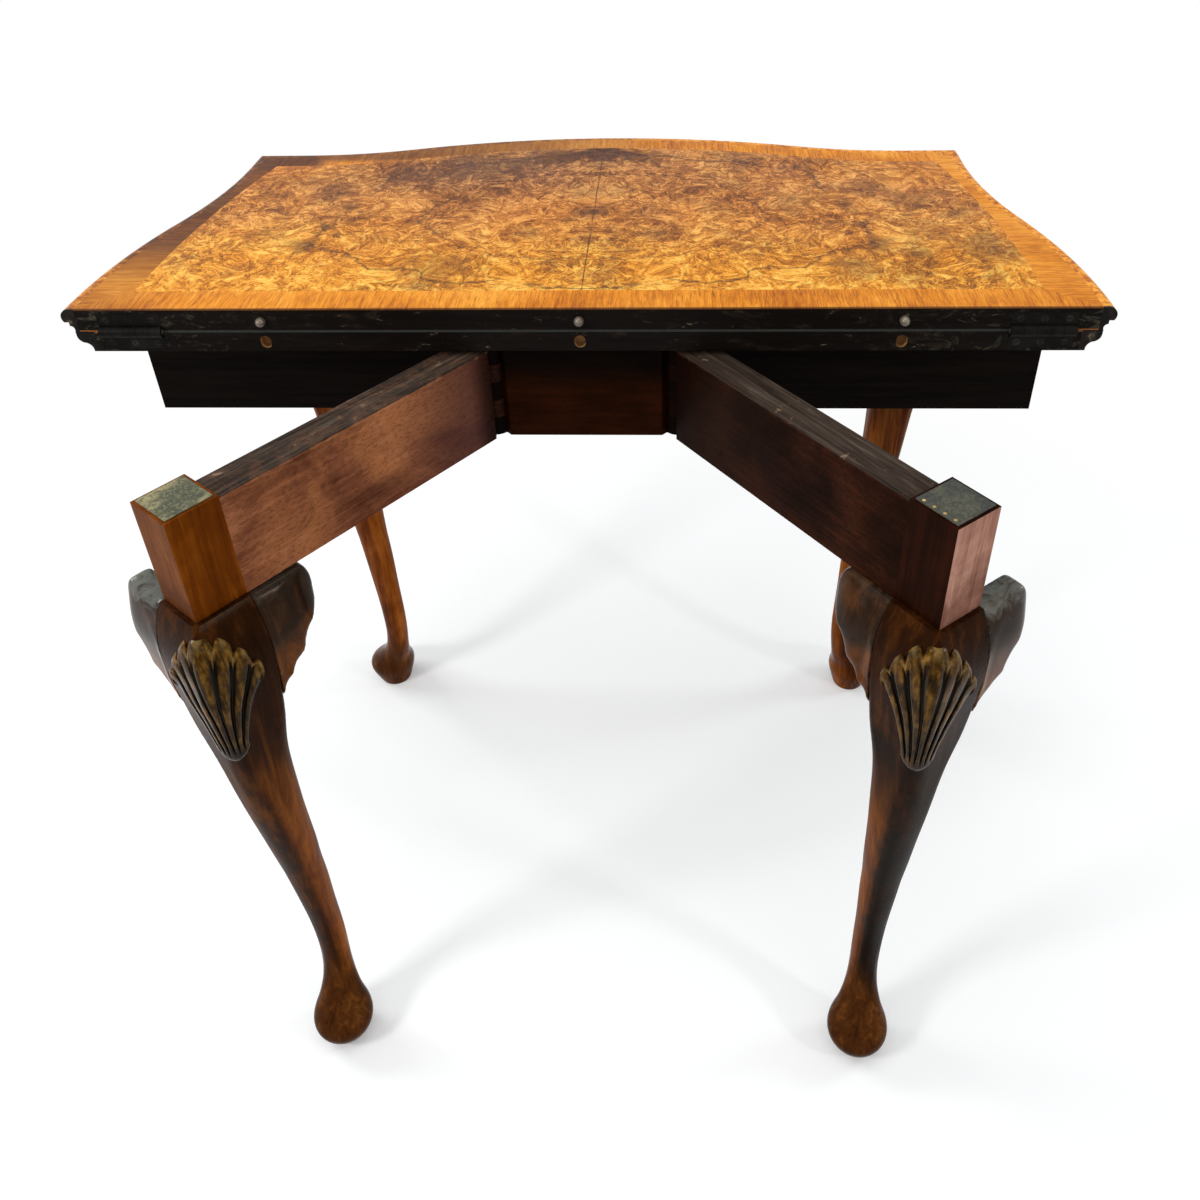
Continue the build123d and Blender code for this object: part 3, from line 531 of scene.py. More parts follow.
def gate_rail_material(side, tones, worn_tone, worn_share, pivot_shade_tone):
    """Gate rail: polished reddish face with painted shade by its pivot, and a dull greyish top with pale
    chips.
    """
    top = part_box(f"{side}_gate_rail")[1][2]
    pin_low, pin_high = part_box(f"{side}_gate_pin")
    pivot = ((pin_low[0] + pin_high[0]) / 2, (pin_low[1] + pin_high[1]) / 2, 0.0)

    def wear_and_painted_light(recipe, local, colour):
        """From the pivot outwards: wear, then painted shade growing to near-black at the pivot; then the sawn
        top of the rail, then stains on its face.
        """
        away = recipe.place.scaled((1.0, 1.0, 0.0)).distance(pivot)
        worn = away.step(*PIVOT_WORN) * local.noise(9.0, 4.0, 0.6, 0.8).step(0.4, 0.6)
        colour = colour.mix(worn * worn_share, worn_tone)
        # Painted shade towards the pivot, near-black right at it
        colour = colour.mix(away.step(*PIVOT_SHADE) * 0.8, pivot_shade_tone)
        colour = colour.mix(away.step(*PIVOT_DEEP_SHADE) * 0.9, (20, 7, 3))
        scratches = local.streaks((1.0, 2.0, 2.6), 190.0, 3.0, 0.7, 0.6)
        colour = colour.mix(scratches.step(0.5, 0.4) * 0.4, tones[0])
        z = recipe.axis("Z")
        grain = local.streaks((1.0, 16.0, 16.0), 12.0, 6.0, 0.7, 0.5)
        chips = local.noise(60.0, 5.0, 0.7, 0.6)
        dull = grain.ramp((0.35, (30, 24, 20)), (0.55, (66, 55, 47)), (0.75, (104, 92, 80)))
        dull = dull.mix(chips.step(0.62, 0.7) * 0.7, (160, 140, 112))
        above = z.step(top - RAIL_TOP[0], top - RAIL_TOP[1])
        colour = colour.mix(above, dull)
        edge = z.line(top - RAIL_EDGE, RAIL_EDGE_WIDTH) * chips.step(0.46, 0.6)
        colour = colour.mix(edge * 0.45, tones[2])
        stains = local.streaks((1.0, 3.0, 2.0), 12.0, 5.0, 0.65, 1.5)
        shade = stains.step(0.56, 0.7) * 0.45
        return colour.mix(shade * above.step(0.5, 0.4), tones[0])

    turn = gate_turn(f"{side}_gate")
    return wood(f"{side}_gate_mahogany", tones, "X", turn, rough=(0.3, 0.46), shine=0.015, extra=wear_and_painted_light)


# Heights on a leg, each from where a tone starts to where it is full
KNEE_RISE = (0.42, 0.55)
FOOT_FALL = (0.12, 0.06)
# Heights over which the painted light on the shaft fades out
PAINTED_LIGHT_FALL = (0.5, 0.3)
RUBBED_FROM = (0.09, 0.14)
RUBBED_TO = (0.53, 0.46)
PAD_FOOT_TOP = 0.02
POST_TONES_AT = (0.34, 0.5, 0.66)  # places on the ramp


def facing(recipe, turn):
    """How squarely the surface looks along a level direction."""
    normal = recipe.value("ShaderNodeTexCoord", {}, {}, "Normal")
    return normal.vector("DOT_PRODUCT", (math.cos(turn), math.sin(turn), 0.0), "Value")


def leg_material(node, post_tones, shaft_tones, painted_light_turn, foot_share, lit_face_tones=None, lit_face_turn=0.0):
    """Leg in one piece: plain post, dark polished knee, orange-brown shaft and dark foot.

    Painted light: the shaft is painted a lit orange where it looks along one given turn, and the post's face
    that looks along another is painted in tones of its own as that face is lit, darker lower down and in
    blotches.
    """
    recipe = Recipe(f"{node}_walnut")
    z = recipe.axis("Z")
    local = recipe.turned(0.0, (*foot_centre(node), 0.0))
    grain = local.streaks((15.0, 15.0, 1.0), 9.0, 6.0, 0.62, 0.5)
    fine = local.streaks((26.0, 26.0, 1.0), 50.0, 3.0, 0.6)
    cloud = local.noise(9.0, 4.0, 0.6, 0.5)
    mixed = grain * 0.5 + cloud * 0.5
    post = mixed.ramp(*zip(POST_TONES_AT, post_tones))
    if lit_face_tones:
        # Painted light and shade: the post's face that looks along the given turn, in tones of its own,
        # darker lower down and in blotches
        lit_face = mixed.ramp(*zip(POST_TONES_AT, lit_face_tones))
        blotch = local.noise(42.0, 5.0, 0.65, 0.6) * 0.16
        post_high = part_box(node)[1][2]
        darker_low = (z + blotch).step(post_high + 0.06, post_high - 0.02)
        lit_face = lit_face.mix(darker_low * 0.75, lit_face_tones[0])
        post = post.mix(facing(recipe, lit_face_turn).step(0.6, 0.8), lit_face)
    shaft = mixed.ramp(*zip((0.38, 0.5, 0.64), shaft_tones))
    # Painted light: a lit orange on the shaft where it looks along the given turn, fading out higher up
    painted_glow = mixed.ramp((0.36, (96, 42, 6)), (0.5, (150, 78, 16)), (0.64, (186, 106, 32)))
    lit = facing(recipe, painted_light_turn).step(0.6, 1.0) * z.step(*PAINTED_LIGHT_FALL)
    shaft = shaft.mix(lit * 0.6, painted_glow)
    knee = mixed.ramp((0.34, (15, 7, 2)), (0.52, (46, 22, 7)), (0.7, (92, 50, 16)))
    foot = mixed.ramp((0.34, (34, 14, 4)), (0.52, (78, 42, 15)), (0.7, (128, 76, 32)))
    level = z + (cloud - 0.5) * 0.3
    colour = shaft.mix(level.step(*KNEE_RISE), knee)
    colour = colour.mix(level.step(*FOOT_FALL) * foot_share, foot)
    post_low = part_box("back_rail")[0][2]
    above = z.step(post_low + 0.0002, post_low + 0.0008)
    colour = colour.mix(above, post)
    open_pores = fine.step(0.42, 0.34)
    colour = colour.mix(open_pores * 0.25, shaft_tones[0])
    polish = cloud.ramp((0.35, 0.12), (0.65, 0.22))
    rubbed = z.step(*RUBBED_FROM) * z.step(*RUBBED_TO)
    dull = most(above, rubbed * 0.8)
    roughness = polish.mix(dull, cloud.ramp((0.35, 0.42), (0.65, 0.55)))
    normal = (local.noise(60.0, 4.0, 0.6) * 0.6 + open_pores).bump(0.0003, 0.25)
    return recipe.finish(colour, roughness, normal, 0.03, Specular_Tint=VARNISH_TINT)


def foot_centre(node):
    """Middle of a leg's pad foot."""
    low = [vertex.co for vertex in nodes[node].data.vertices if vertex.co.z < PAD_FOOT_TOP]
    xs = [point.x for point in low]
    ys = [point.y for point in low]
    return (min(xs) + max(xs)) / 2, (min(ys) + max(ys)) / 2


def ear_material(name, highlight_share):
    """Ears: near-black polished walnut above, with the orange of the wood showing below.

    A painted highlight, bluish grey, runs along the upper edge, by the share given.
    """
    recipe = Recipe(name)
    grain = recipe.streaks((3.0, 3.0, 1.0), 20.0, 5.0, 0.62, 1.0)
    cloud = recipe.cloud(14.0, 4.0, 0.6, 0.8)
    mixed = grain * 0.5 + cloud * 0.5
    dark = mixed.ramp((0.36, (12, 6, 3)), (0.52, (42, 24, 12)), (0.7, (88, 52, 26)))
    warm = mixed.ramp((0.36, (46, 20, 4)), (0.5, (98, 52, 14)), (0.68, (158, 94, 34)))
    low, high = (corner[2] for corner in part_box("left_gate_end_ear"))
    height = high - low
    level = recipe.axis("Z") + (cloud - 0.5) * height
    colour = dark.mix(level.step(low + height * 0.62, low + height * 0.35), warm)
    # Painted highlight along the upper edge, with a ragged lower rim
    smoke = recipe.cloud(60.0, 6.0, 0.7, 1.6) * 0.06
    highlight_band = (recipe.axis("Z") + smoke).step(high + 0.016, high + 0.036)
    colour = colour.mix(highlight_band * highlight_share, (150, 158, 150))
    roughness = cloud.ramp((0.35, 0.12), (0.65, 0.24))
    normal = grain.bump(0.0004, 0.15)
    return recipe.finish(colour, roughness, normal, 0.14, Specular_Tint=VARNISH_TINT)


def shell_material():
    """Carved shells: rubbed golden olive on the ribs, black in the grooves, and a painted pale highlight on
    the highest places.
    """
    recipe = Recipe("carved_shell_walnut")
    cavity = recipe.value("ShaderNodeAttribute", {"attribute_name": CARVING_HEIGHT}, {}, "Fac")
    cloud = recipe.cloud(60.0, 5.0, 0.65, 0.5)
    grain = recipe.streaks((6.0, 6.0, 1.0), 60.0, 4.0)
    mixed = cloud * 0.5 + grain * 0.5
    rubbed = mixed.ramp((0.36, (18, 10, 1)), (0.5, (74, 48, 8)), (0.66, (138, 98, 36)))
    height = cavity + (cloud - 0.5) * 0.3
    colour = recipe.mix(height.step(0.44, 0.9), (9, 5, 2), rubbed)
    # Painted highlight: pale on the highest, most rubbed places
    colour = colour.mix(cavity.step(0.93, 1.0) * 0.3, (172, 146, 96))
    roughness = cloud.ramp((0.35, 0.14), (0.65, 0.26))
    normal = mixed.bump(0.0004, 0.15)
    return recipe.finish(colour, roughness, normal, 0.1, Specular_Tint=VARNISH_TINT)


def baize_material(name, tones, bald, scuffed=0.0):
    """Green woollen baize: short fibres, faded and rubbed patches."""
    recipe = Recipe(name)
    deep, middle, worn = tones
    fibres = recipe.cloud(900.0, 4.0, 0.8, 1.5)
    patches = recipe.cloud(26.0, 4.0, 0.6, 0.6)
    weave = recipe.streaks((1.0, 5.0, 1.0), 420.0, 2.0)
    mixed = fibres * 0.5 + weave * 0.5
    colour = mixed.ramp((0.35, deep), (0.55, middle), (0.75, worn))
    colour = colour.mix(patches.step(bald - 0.12, bald + 0.08), worn)
    mottled = recipe.cloud(170.0, 5.0, 0.7, 1.5)
    colour = colour.mix(mottled.step(0.52, 0.42) * 0.6, deep)
    colour = colour.mix(mottled.line(0.56, 0.02) * scuffed, (168, 160, 132))
    y = recipe.inward()
    # Near-black along a narrow strip by the rear edge
    rear_strip = y.step(*BAIZE_DARK_FROM) * y.step(*BAIZE_DARK_TO)
    colour = colour.mix(rear_strip * 0.92, (20, 15, 11))
    return recipe.finish(colour, 0.95, mixed.bump(0.0006, 0.7), Sheen_Weight=0.2, Sheen_Roughness=0.5)


def metal_material(name, dark, light, metallic=0.85, shine=0.5):
    """Old metal: dark, slightly pitted, brighter in soft patches."""
    recipe = Recipe(name)
    pits = recipe.cloud(260.0, 5.0, 0.7, 0.4)
    colour = recipe.cloud(60.0, 4.0, 0.6).ramp((0.35, dark), (0.72, light))
    roughness = pits.ramp((0.3, 0.34), (0.7, 0.62))
    normal = pits.bump(0.0005, 0.4)
    return recipe.finish(colour, roughness, normal, shine, Metallic=metallic)


# Stage, in linear colours
FLOOR_HALF = 12.0
FLOOR_TONE = (0.86, 0.86, 0.86)
FLOOR_LIFT = 0.19  # added where the floor is seen, so that it runs into white
FLOOR_WHITE_FROM = 0.5
FLOOR_WHITE_TO = 1.25
WORLD_TONE = (0.95, 0.97, 1.0)
WORLD_STRENGTH = 0.36
WHITE = (1.0, 1.0, 1.0)
WINDOW_TONE = (0.9, 1.0, 1.0)
# Name, place, target, size, power and colour
LAMPS = (
    ("window_left", (-1.7, -1.2, 1.7), (0.0, 0.0, 0.45), 0.5, 20.0, WHITE),
    ("window_back", (-2.3, 1.4, 1.9), (0.0, 0.1, 0.5), 0.9, 18.0, WHITE),
    ("window_right", (1.9, -1.1, 1.3), (0.0, 0.0, 0.4), 0.2, 7.0, WHITE),
    ("far_window_left", (-2.0, 0.5, 1.15), (-0.3, -0.3, 0.5), 0.55, 10.0, WINDOW_TONE),
    ("far_window_right", (2.0, 0.5, 1.15), (0.3, -0.3, 0.5), 0.55, 9.0, WINDOW_TONE),
    ("ceiling", (0.0, -0.2, 3.0), (0.0, 0.0, 0.0), 2.2, 28.0, WHITE),
)


def make_floor():
    """Plain pale floor that runs out into white surroundings."""
    mesh = bpy.data.meshes.new("floor")
    corners = [(x * FLOOR_HALF, y * FLOOR_HALF, 0.0) for x, y in ((-1, -1), (1, -1), (1, 1), (-1, 1))]
    mesh.from_pydata(corners, [], [(0, 1, 2, 3)])
    floor = linked("floor", mesh)
    recipe = Recipe("floor_paint")
    diffuse = recipe.value("ShaderNodeBsdfDiffuse", {}, {"Color": FLOOR_TONE})
    seen = recipe.seen()
    lift = recipe.value("ShaderNodeEmission", {}, {"Strength": seen * FLOOR_LIFT})
    lit = recipe.value("ShaderNodeAddShader", {}, {0: diffuse, 1: lift})
    white = recipe.value("ShaderNodeEmission", {}, {"Strength": 1.0})
    away = recipe.place.vector("LENGTH", (0.0, 0.0, 0.0), "Value")
    far = away.step(FLOOR_WHITE_FROM, FLOOR_WHITE_TO) * seen
    mesh.materials.append(recipe.close(recipe.value("ShaderNodeMixShader", {}, {0: far, 1: lit, 2: white})))


def make_world():
    """Soft even light, seen as white."""
    world = bpy.data.worlds.new("studio")
    bpy.context.scene.world = world
    world.use_nodes = True
    tree = Builder(world.node_tree)
    soft = tree.value("ShaderNodeBackground", {}, {"Color": WORLD_TONE, "Strength": WORLD_STRENGTH})
    white = tree.value("ShaderNodeBackground", {}, {"Color": WHITE})
    choice = tree.value("ShaderNodeMixShader", {}, {0: tree.seen(), 1: soft, 2: white})
    tree.node("ShaderNodeOutputWorld", {}, {0: choice})


def area_lamp(name, place, target, size, power, colour):
    """A soft square lamp that points at a target."""
    data = bpy.data.lights.new(name, "AREA")
    data.size = size
    data.energy = power
    data.color = colour
    aim = Vector(target) - Vector(place)
    turn = aim.to_track_quat("-Z", "Y").to_matrix().to_4x4()
    linked(name, data).matrix_world = Matrix.Translation(Vector(place)) @ turn


# Pieces
def new_piece(name, mesh, body, material):
    """Link a mesh as a piece on a body."""
    piece = linked(name, mesh)
    mesh.materials.append(material)
    mesh.update()
    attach(piece, body)
    return piece


def closed_mesh(name, mesh, smooth=False):
    """Mesh data of a bmesh, its faces turned outwards."""
    bmesh.ops.recalc_face_normals(mesh, faces=mesh.faces)
    data = bpy.data.meshes.new(name)
    mesh.to_mesh(data)
    mesh.free()
    data.polygons.foreach_set("use_smooth", [smooth] * len(data.polygons))
    return data


def gate_turn(leg):
    """How far a leg's square post is turned about the upright."""
    if leg.startswith("left_gate"):
        return GATE_ANGLE
    if leg.startswith("right_gate"):
        return -GATE_ANGLE
    return 0.0


def post_centre(leg):
    """Middle of a leg's square post, from its highest points."""
    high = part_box(leg)[1][2]
    points = [vertex.co for vertex in nodes[leg].data.vertices if vertex.co.z > high - 0.001]
    return sum(point.x for point in points) / len(points), sum(point.y for point in points) / len(points)


# Carved shell, in metres, and in shares of its half width and height above its foot
SHELL_HALF_WIDTH = 0.0335
SHELL_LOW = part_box("left_gate_leg_shell")[0][2]
SHELL_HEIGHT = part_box("left_gate_leg_shell")[1][2] - SHELL_LOW
SHELL_RELIEF = 0.0043
SHELL_BED = 0.0012
SHELL_SUNK = 0.0001
SHELL_START = 0.12  # distance from the post's middle at which the rays to the knee start
SHELL_SPREAD = 0.5  # how far its relief leans to the sides
SHELL_LEAN = 0.3  # and upwards
SHELL_ACROSS = 168
SHELL_ALONG = 60
SHELL_HALF_LOBES = 3.5
# Lines between the ribs from foot to rim: the middle of the shell, three grooves and the side
SHELL_LINES = (
    ((0.0, 0.0), (0.0, 0.16), (0.0, 0.43), (0.0, 0.66), (0.0, 1.05)),
    ((0.07, 0.004), (0.06, 0.16), (0.09, 0.43), (0.15, 0.66), (0.27, 1.01)),
    ((0.16, 0.022), (0.17, 0.16), (0.27, 0.43), (0.415, 0.64), (0.58, 0.89)),
    ((0.27, 0.056), (0.28, 0.17), (0.46, 0.43), (0.69, 0.63), (0.84, 0.745)),
    ((0.36, 0.11), (0.40, 0.20), (0.62, 0.42), (0.83, 0.54), (0.97, 0.585)),
)
# Swell of the lobes past the notches: the middle one's upwards, the others' sideways and upwards
SHELL_MIDDLE_LOBE = 0.05
SHELL_LOBES = ((0.010, 0.030), (0.026, 0.034), (0.062, 0.032))
SHELL_NOTCH = 0.035  # of the height, between two lobes
SHELL_SIDE_CUT = 0.09  # more of it at the outer corner of the last lobe
SHELL_CHANNEL = (0.10, 0.27)  # share of a lobe that its two channels take, at foot and rim
SHELL_FLOOR = 0.22  # relief at the floor of a channel
SHELL_THREAD = 0.16  # height of the thread between two channels
SHELL_HOLLOW = 0.38  # depth of the dip across the ribs
SHELL_DIP = (0.78, 0.12)  # middle and width of that dip along the ribs
SHELL_RIM = (0.955, 0.05)  # middle and width of the rim where the channels end
SHELL_MIDDLE_CHANNEL = 0.6  # width of the middle lobe's channels, in those of the others
SHELL_TIP = 0.965  # from here on the rim is rounded off
SHELL_FOOT = 0.1  # up to here the foot is
SHELL_SIDE = 0.96  # and from here on the sides are
CARVING_HEIGHT = "carving_height"


def along_line(line, along):
    """Point on a smooth line through evenly placed points."""
    places = [Vector(point) for point in line]
    reach = along * (len(places) - 1)
    index = min(int(reach), len(places) - 2)
    share = reach - index
    before = places[max(index - 1, 0)]
    first, second = places[index], places[index + 1]
    after = places[min(index + 2, len(places) - 1)]
    bend = (second - before) * share
    bend += (before * 2 - first * 5 + second * 4 - after) * share ** 2
    bend += (first * 3 - before - second * 3 + after) * share ** 3
    return first + bend / 2


def ridge(value, middle, width):
    """1 at the middle, fading over a width to both sides."""
    return math.exp(-((value - middle) / width) ** 2)


def rounding(past, width):
    """1 before an edge, falling in a quarter round over the width past it."""
    return math.sqrt(max(0.0, 1.0 - (max(0.0, past) / width) ** 2))


def shell_place(lobe, share, rib, crown, along):
    """Place on the right half of the shell, in shares of its half width and height."""
    cut = SHELL_NOTCH * rib ** 6 + (SHELL_SIDE_CUT * share ** 5 if lobe == 3 else 0.0)
    low, high = (along_line(SHELL_LINES[line], along * (1.0 - cut)) for line in (lobe, lobe + 1))
    place = low.lerp(high, share)
    if lobe:
        return place + Vector(SHELL_LOBES[lobe - 1]) * crown * along ** 4
    return place + Vector((0.0, SHELL_MIDDLE_LOBE)) * (1 - share) * share * along ** 4


def shell_point(across, along):
    """Place on the shell in shares, its relief there as a share of the full relief, and its wear, which also
    places a painted highlight on its highest parts.
    """
    reach = abs(across) * SHELL_HALF_LOBES
    if reach < 0.5:
        lobe, share, rib = 0, reach * 2, reach * 2
    else:
        lobe = min(3, int(reach + 0.5))
        share = reach + 0.5 - lobe
        rib = share * 2 - 1
    crown = 1.0 - abs(rib) ** 3
    place = shell_place(lobe, share, rib, crown, along)
    if across < 0:
        place.x = -place.x
    channel = SHELL_CHANNEL[0] + (SHELL_CHANNEL[1] - SHELL_CHANNEL[0]) * along
    if lobe == 0:
        channel *= SHELL_MIDDLE_CHANNEL
    edge = min(1.0, abs(rib) / (1.0 - channel))
    convex = math.sqrt(1.0 - edge ** 3)
    thread = SHELL_THREAD * ridge(abs(rib), 1.0, 0.22 * channel) * min(1.0, along * 1.6)
    floor = min(1.0, SHELL_FLOOR + thread + 0.8 * ridge(along, *SHELL_RIM))
    groove = min(1.0, max(0.0, (along - 0.13) / 0.12))
    ribbed = 1.0 - groove * (1.0 - max(floor, SHELL_FLOOR + (1.0 - SHELL_FLOOR) * convex))
    swell = 0.7 + 0.3 * math.sin(math.pi * min(1.0, 0.1 + along * 0.62))
    dip = SHELL_HOLLOW * ridge(along, *SHELL_DIP) * crown
    side_round = rounding(abs(across) - SHELL_SIDE, 1.0 - SHELL_SIDE)
    ends = rounding(along - SHELL_TIP, 1.0 - SHELL_TIP) * rounding(SHELL_FOOT - along, SHELL_FOOT)
    relief = swell * (1.0 - dip) * ribbed * ends * side_round
    wear_and_painted_light = ribbed * (0.55 + 0.45 * along) * (1.0 - 0.5 * dip) * (0.4 + 0.6 * side_round)
    return place, relief, wear_and_painted_light


def carved_shell(name, leg, body, turn, material):
    """Shell carved on the corner of a knee that looks along the turn, laid on the leg's own surface."""
    target = BVHTree.FromObject(nodes[leg], bpy.context.evaluated_depsgraph_get())
    outward = Vector((math.cos(turn), math.sin(turn), 0.0))
    level = Vector((-outward.y, outward.x, 0.0))
    post = Vector((*post_centre(leg), 0.0))
    rows = SHELL_ALONG + 1
    mesh = bmesh.new()
    top, bed, wear_and_light_values = [], [], []
    for column in range(SHELL_ACROSS + 1):
        across = -1.0 + 2.0 * column / SHELL_ACROSS
        for row in range(rows):
            place, relief, wear_and_painted_light = shell_point(across, row / SHELL_ALONG)
            aim = post + outward * SHELL_START + level * place.x * SHELL_HALF_WIDTH
            aim.z = SHELL_LOW + place.y * SHELL_HEIGHT
            hit = target.ray_cast(aim, -outward)[0]
            lean = level * place.x * SHELL_SPREAD + Vector((0.0, 0.0, SHELL_LEAN))
            lift = (outward + lean).normalized()
            top.append(mesh.verts.new(hit + lift * (relief * SHELL_RELIEF - SHELL_SUNK)))
            bed.append(mesh.verts.new(hit - lift * SHELL_BED))
            wear_and_light_values += (wear_and_painted_light, 0.0)
    for column in range(SHELL_ACROSS):
        for row in range(SHELL_ALONG):
            corner = column * rows + row
            ring = (corner, corner + 1, corner + 1 + rows, corner + rows)
            mesh.faces.new([top[index] for index in reversed(ring)])
            mesh.faces.new([bed[index] for index in ring])
    foot_and_rim = [(column * rows + row, rows) for column in range(SHELL_ACROSS) for row in (0, SHELL_ALONG)]
    sides = [(column * rows + row, 1) for column in (0, SHELL_ACROSS) for row in range(SHELL_ALONG)]
    for first, stride in foot_and_rim + sides:
        second = first + stride
        mesh.faces.new([top[first], top[second], bed[second], bed[first]])
    data = closed_mesh(name, mesh, smooth=True)
    data.attributes.new(CARVING_HEIGHT, "FLOAT", "POINT").data.foreach_set("value", wear_and_light_values)
    piece = new_piece(name, data, body, material)
    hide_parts(f"{leg}_shell")


# Ears, rounded as a carver leaves them
EAR_VOXEL = 0.0013
EAR_PASSES = 24
EAR_PULL = 0.6  # of the way to the neighbours' middle, in one pass
EAR_CELL = 0.003  # grid on which the face's depth is read
EAR_TAPER = 0.04  # share of the depth lost evenly along the ear
EAR_NOSE = 0.3  # share of the depth lost at the nose
EAR_MOST_GROWTH = 6.0  # in the thickness that the solid has there
EAR_LEAST_DEPTH = 0.002  # thickness that is taken where it has less
EAR_HELD = 0.0010  # width beside the joint that keeps its shape
EAR_FREE = 0.004  # from here on the rounding is full


def fill_out(places, post, outward):
    """Bring an ear's outer face flush with the knee's, down to its rounded nose."""
    front = np.array((-outward[1], outward[0]))
    depth = (places[:, :2] - post) @ front
    if depth.mean() < 0:
        front, depth = -front, -depth
    reach = (places[:, :2] - post) @ outward
    reach = (reach - reach.min()) / EAR_CELL
    height = (places[:, 2] - places[:, 2].min()) / EAR_CELL
    face = np.zeros((int(reach.max()) + 2, int(height.max()) + 2))
    np.maximum.at(face, (reach.astype(int), height.astype(int)), depth)
    for index in range(1, len(face)):
        face[index] = np.where(face[index] > 0, face[index], face[index - 1])
    along = np.linspace(0.0, 1.0, len(face))[:, None]
    goal = face[0] * (1.0 - EAR_TAPER * along ** 2 - EAR_NOSE * along ** 9)
    back = depth.min()
    growth = np.clip((goal - back) / np.maximum(face - back, EAR_LEAST_DEPTH), 1.0, EAR_MOST_GROWTH)
    for _ in range(2):
        padded = np.pad(growth, 1, mode="edge")
        growth = (padded[:-2, 1:-1] + padded[2:, 1:-1] + padded[1:-1, :-2] + padded[1:-1, 2:] + growth) / 5
    column = np.clip(reach - 0.5, 0.0, len(face) - 1.001)
    row = np.clip(height - 0.5, 0.0, face.shape[1] - 1.001)
    left, low = column.astype(int), row.astype(int)
    right_share, high_share = column - left, row - low
    lower = growth[left, low] * (1 - right_share) + growth[left + 1, low] * right_share
    upper = growth[left, low + 1] * (1 - right_share) + growth[left + 1, low + 1] * right_share
    gain = (lower * (1 - high_share) + upper * high_share - 1.0) * (depth - back)
    places[:, :2] += gain[:, None] * front


def remeshed(node):
    """Mesh data of a CAD node, rebuilt on an even grid."""
    source = linked("ear_source", nodes[node].data.copy())
    remesh = source.modifiers.new("remesh", "REMESH")
    remesh.mode = "VOXEL"
    remesh.voxel_size = EAR_VOXEL
    data = bpy.data.meshes.new_from_object(source.evaluated_get(bpy.context.evaluated_depsgraph_get()))
    bpy.data.objects.remove(source)
    return data


def rounded_ear(name, node, leg, body, material):
    """An ear in its CAD solid's place, with its edges worn round away from its joint with the leg."""
    data = remeshed(node)
    count = len(data.vertices)
    places = np.empty(count * 3)
    data.vertices.foreach_get("co", places)
    places = places.reshape(count, 3)
    edges = np.empty(len(data.edges) * 2, dtype=int)
    data.edges.foreach_get("vertices", edges)
    edges = edges.reshape(-1, 2)
    low, high = places.min(axis=0), places.max(axis=0)
    post = np.array(post_centre(leg))
    away = (low[:2] + high[:2]) / 2 - post
    angles = gate_turn(leg) + np.arange(4) * math.pi / 2
    outward = max(np.column_stack((np.cos(angles), np.sin(angles))), key=lambda axis: float(axis @ away))
    reach = (places[:, :2] - post) @ outward
    weight = np.clip((reach - reach.min() - EAR_HELD) / (EAR_FREE - EAR_HELD), 0.0, 1.0)
    fill_out(places, post, outward)
    links = np.bincount(edges.ravel(), minlength=count)
    for _ in range(EAR_PASSES):
        total = np.zeros((count, 3))
        np.add.at(total, edges[:, 0], places[edges[:, 1]])
        np.add.at(total, edges[:, 1], places[edges[:, 0]])
        places += (total / links[:, None] - places) * (EAR_PULL * weight)[:, None]
    data.vertices.foreach_set("co", places.ravel())
    data.polygons.foreach_set("use_smooth", [True] * len(data.polygons))
    data.materials.clear()
    piece = new_piece(name, data, body, material)
    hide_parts(node)


# Baize panels
BAIZE_THICKNESS = 0.001
BAIZE_EDGE = 0.0008  # width of the softened edge
BAIZE_FALL = 0.25  # share of the thickness that the edge falls


def baize_outline(node, up):
    """Outline of a CAD baize panel's upper or lower face, as an ordered ring of points."""
    mesh = bmesh.new()
    mesh.from_mesh(nodes[node].data)
    bmesh.ops.remove_doubles(mesh, verts=mesh.verts, dist=1e-6)
    level = [face for face in mesh.faces if face.normal.z * up > 0.9]
    rim = [edge for edge in mesh.edges if sum(face in level for face in edge.link_faces) == 1]
    following = {}
    for edge in rim:
        for one, other in (edge.verts, reversed(edge.verts)):
            following.setdefault(one.index, []).append(other.index)
    places = {vertex.index: vertex.co.copy() for vertex in mesh.verts}
    start = next(iter(following))
    ring, last = [start], None
    while True:
        options = [index for index in following[ring[-1]] if index != last]
        if not options or options[0] == start:
            break
        last = ring[-1]
        ring.append(options[0])
    mesh.free()
    return [places[index] for index in ring]


def baize_panel(name, node, body, up, material):
    """A baize panel with a softened edge, in its CAD solid's place."""
    ring = baize_outline(node, up)
    mesh = bmesh.new()
    face = mesh.faces.new([mesh.verts.new(point) for point in ring])
    if face.normal.z * up < 0:
        face.normal_flip()
    area = face.calc_area()
    skirt = bmesh.ops.inset_region(mesh, faces=[face], thickness=BAIZE_EDGE, depth=0.0)["faces"]
    for vertex in {vertex for part in skirt for vertex in part.verts} - set(face.verts):
        vertex.co.z -= up * BAIZE_FALL * BAIZE_THICKNESS
    walls = bmesh.ops.extrude_edge_only(mesh, edges=[edge for edge in mesh.edges if edge.is_boundary])
    for part in walls["geom"]:
        if isinstance(part, bmesh.types.BMVert):
            part.co.z -= up * (1.0 - BAIZE_FALL) * BAIZE_THICKNESS
    bmesh.ops.holes_fill(mesh, edges=[edge for edge in mesh.edges if edge.is_boundary], sides=0)
    piece = new_piece(name, closed_mesh(name, mesh), body, material)
    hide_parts(node)


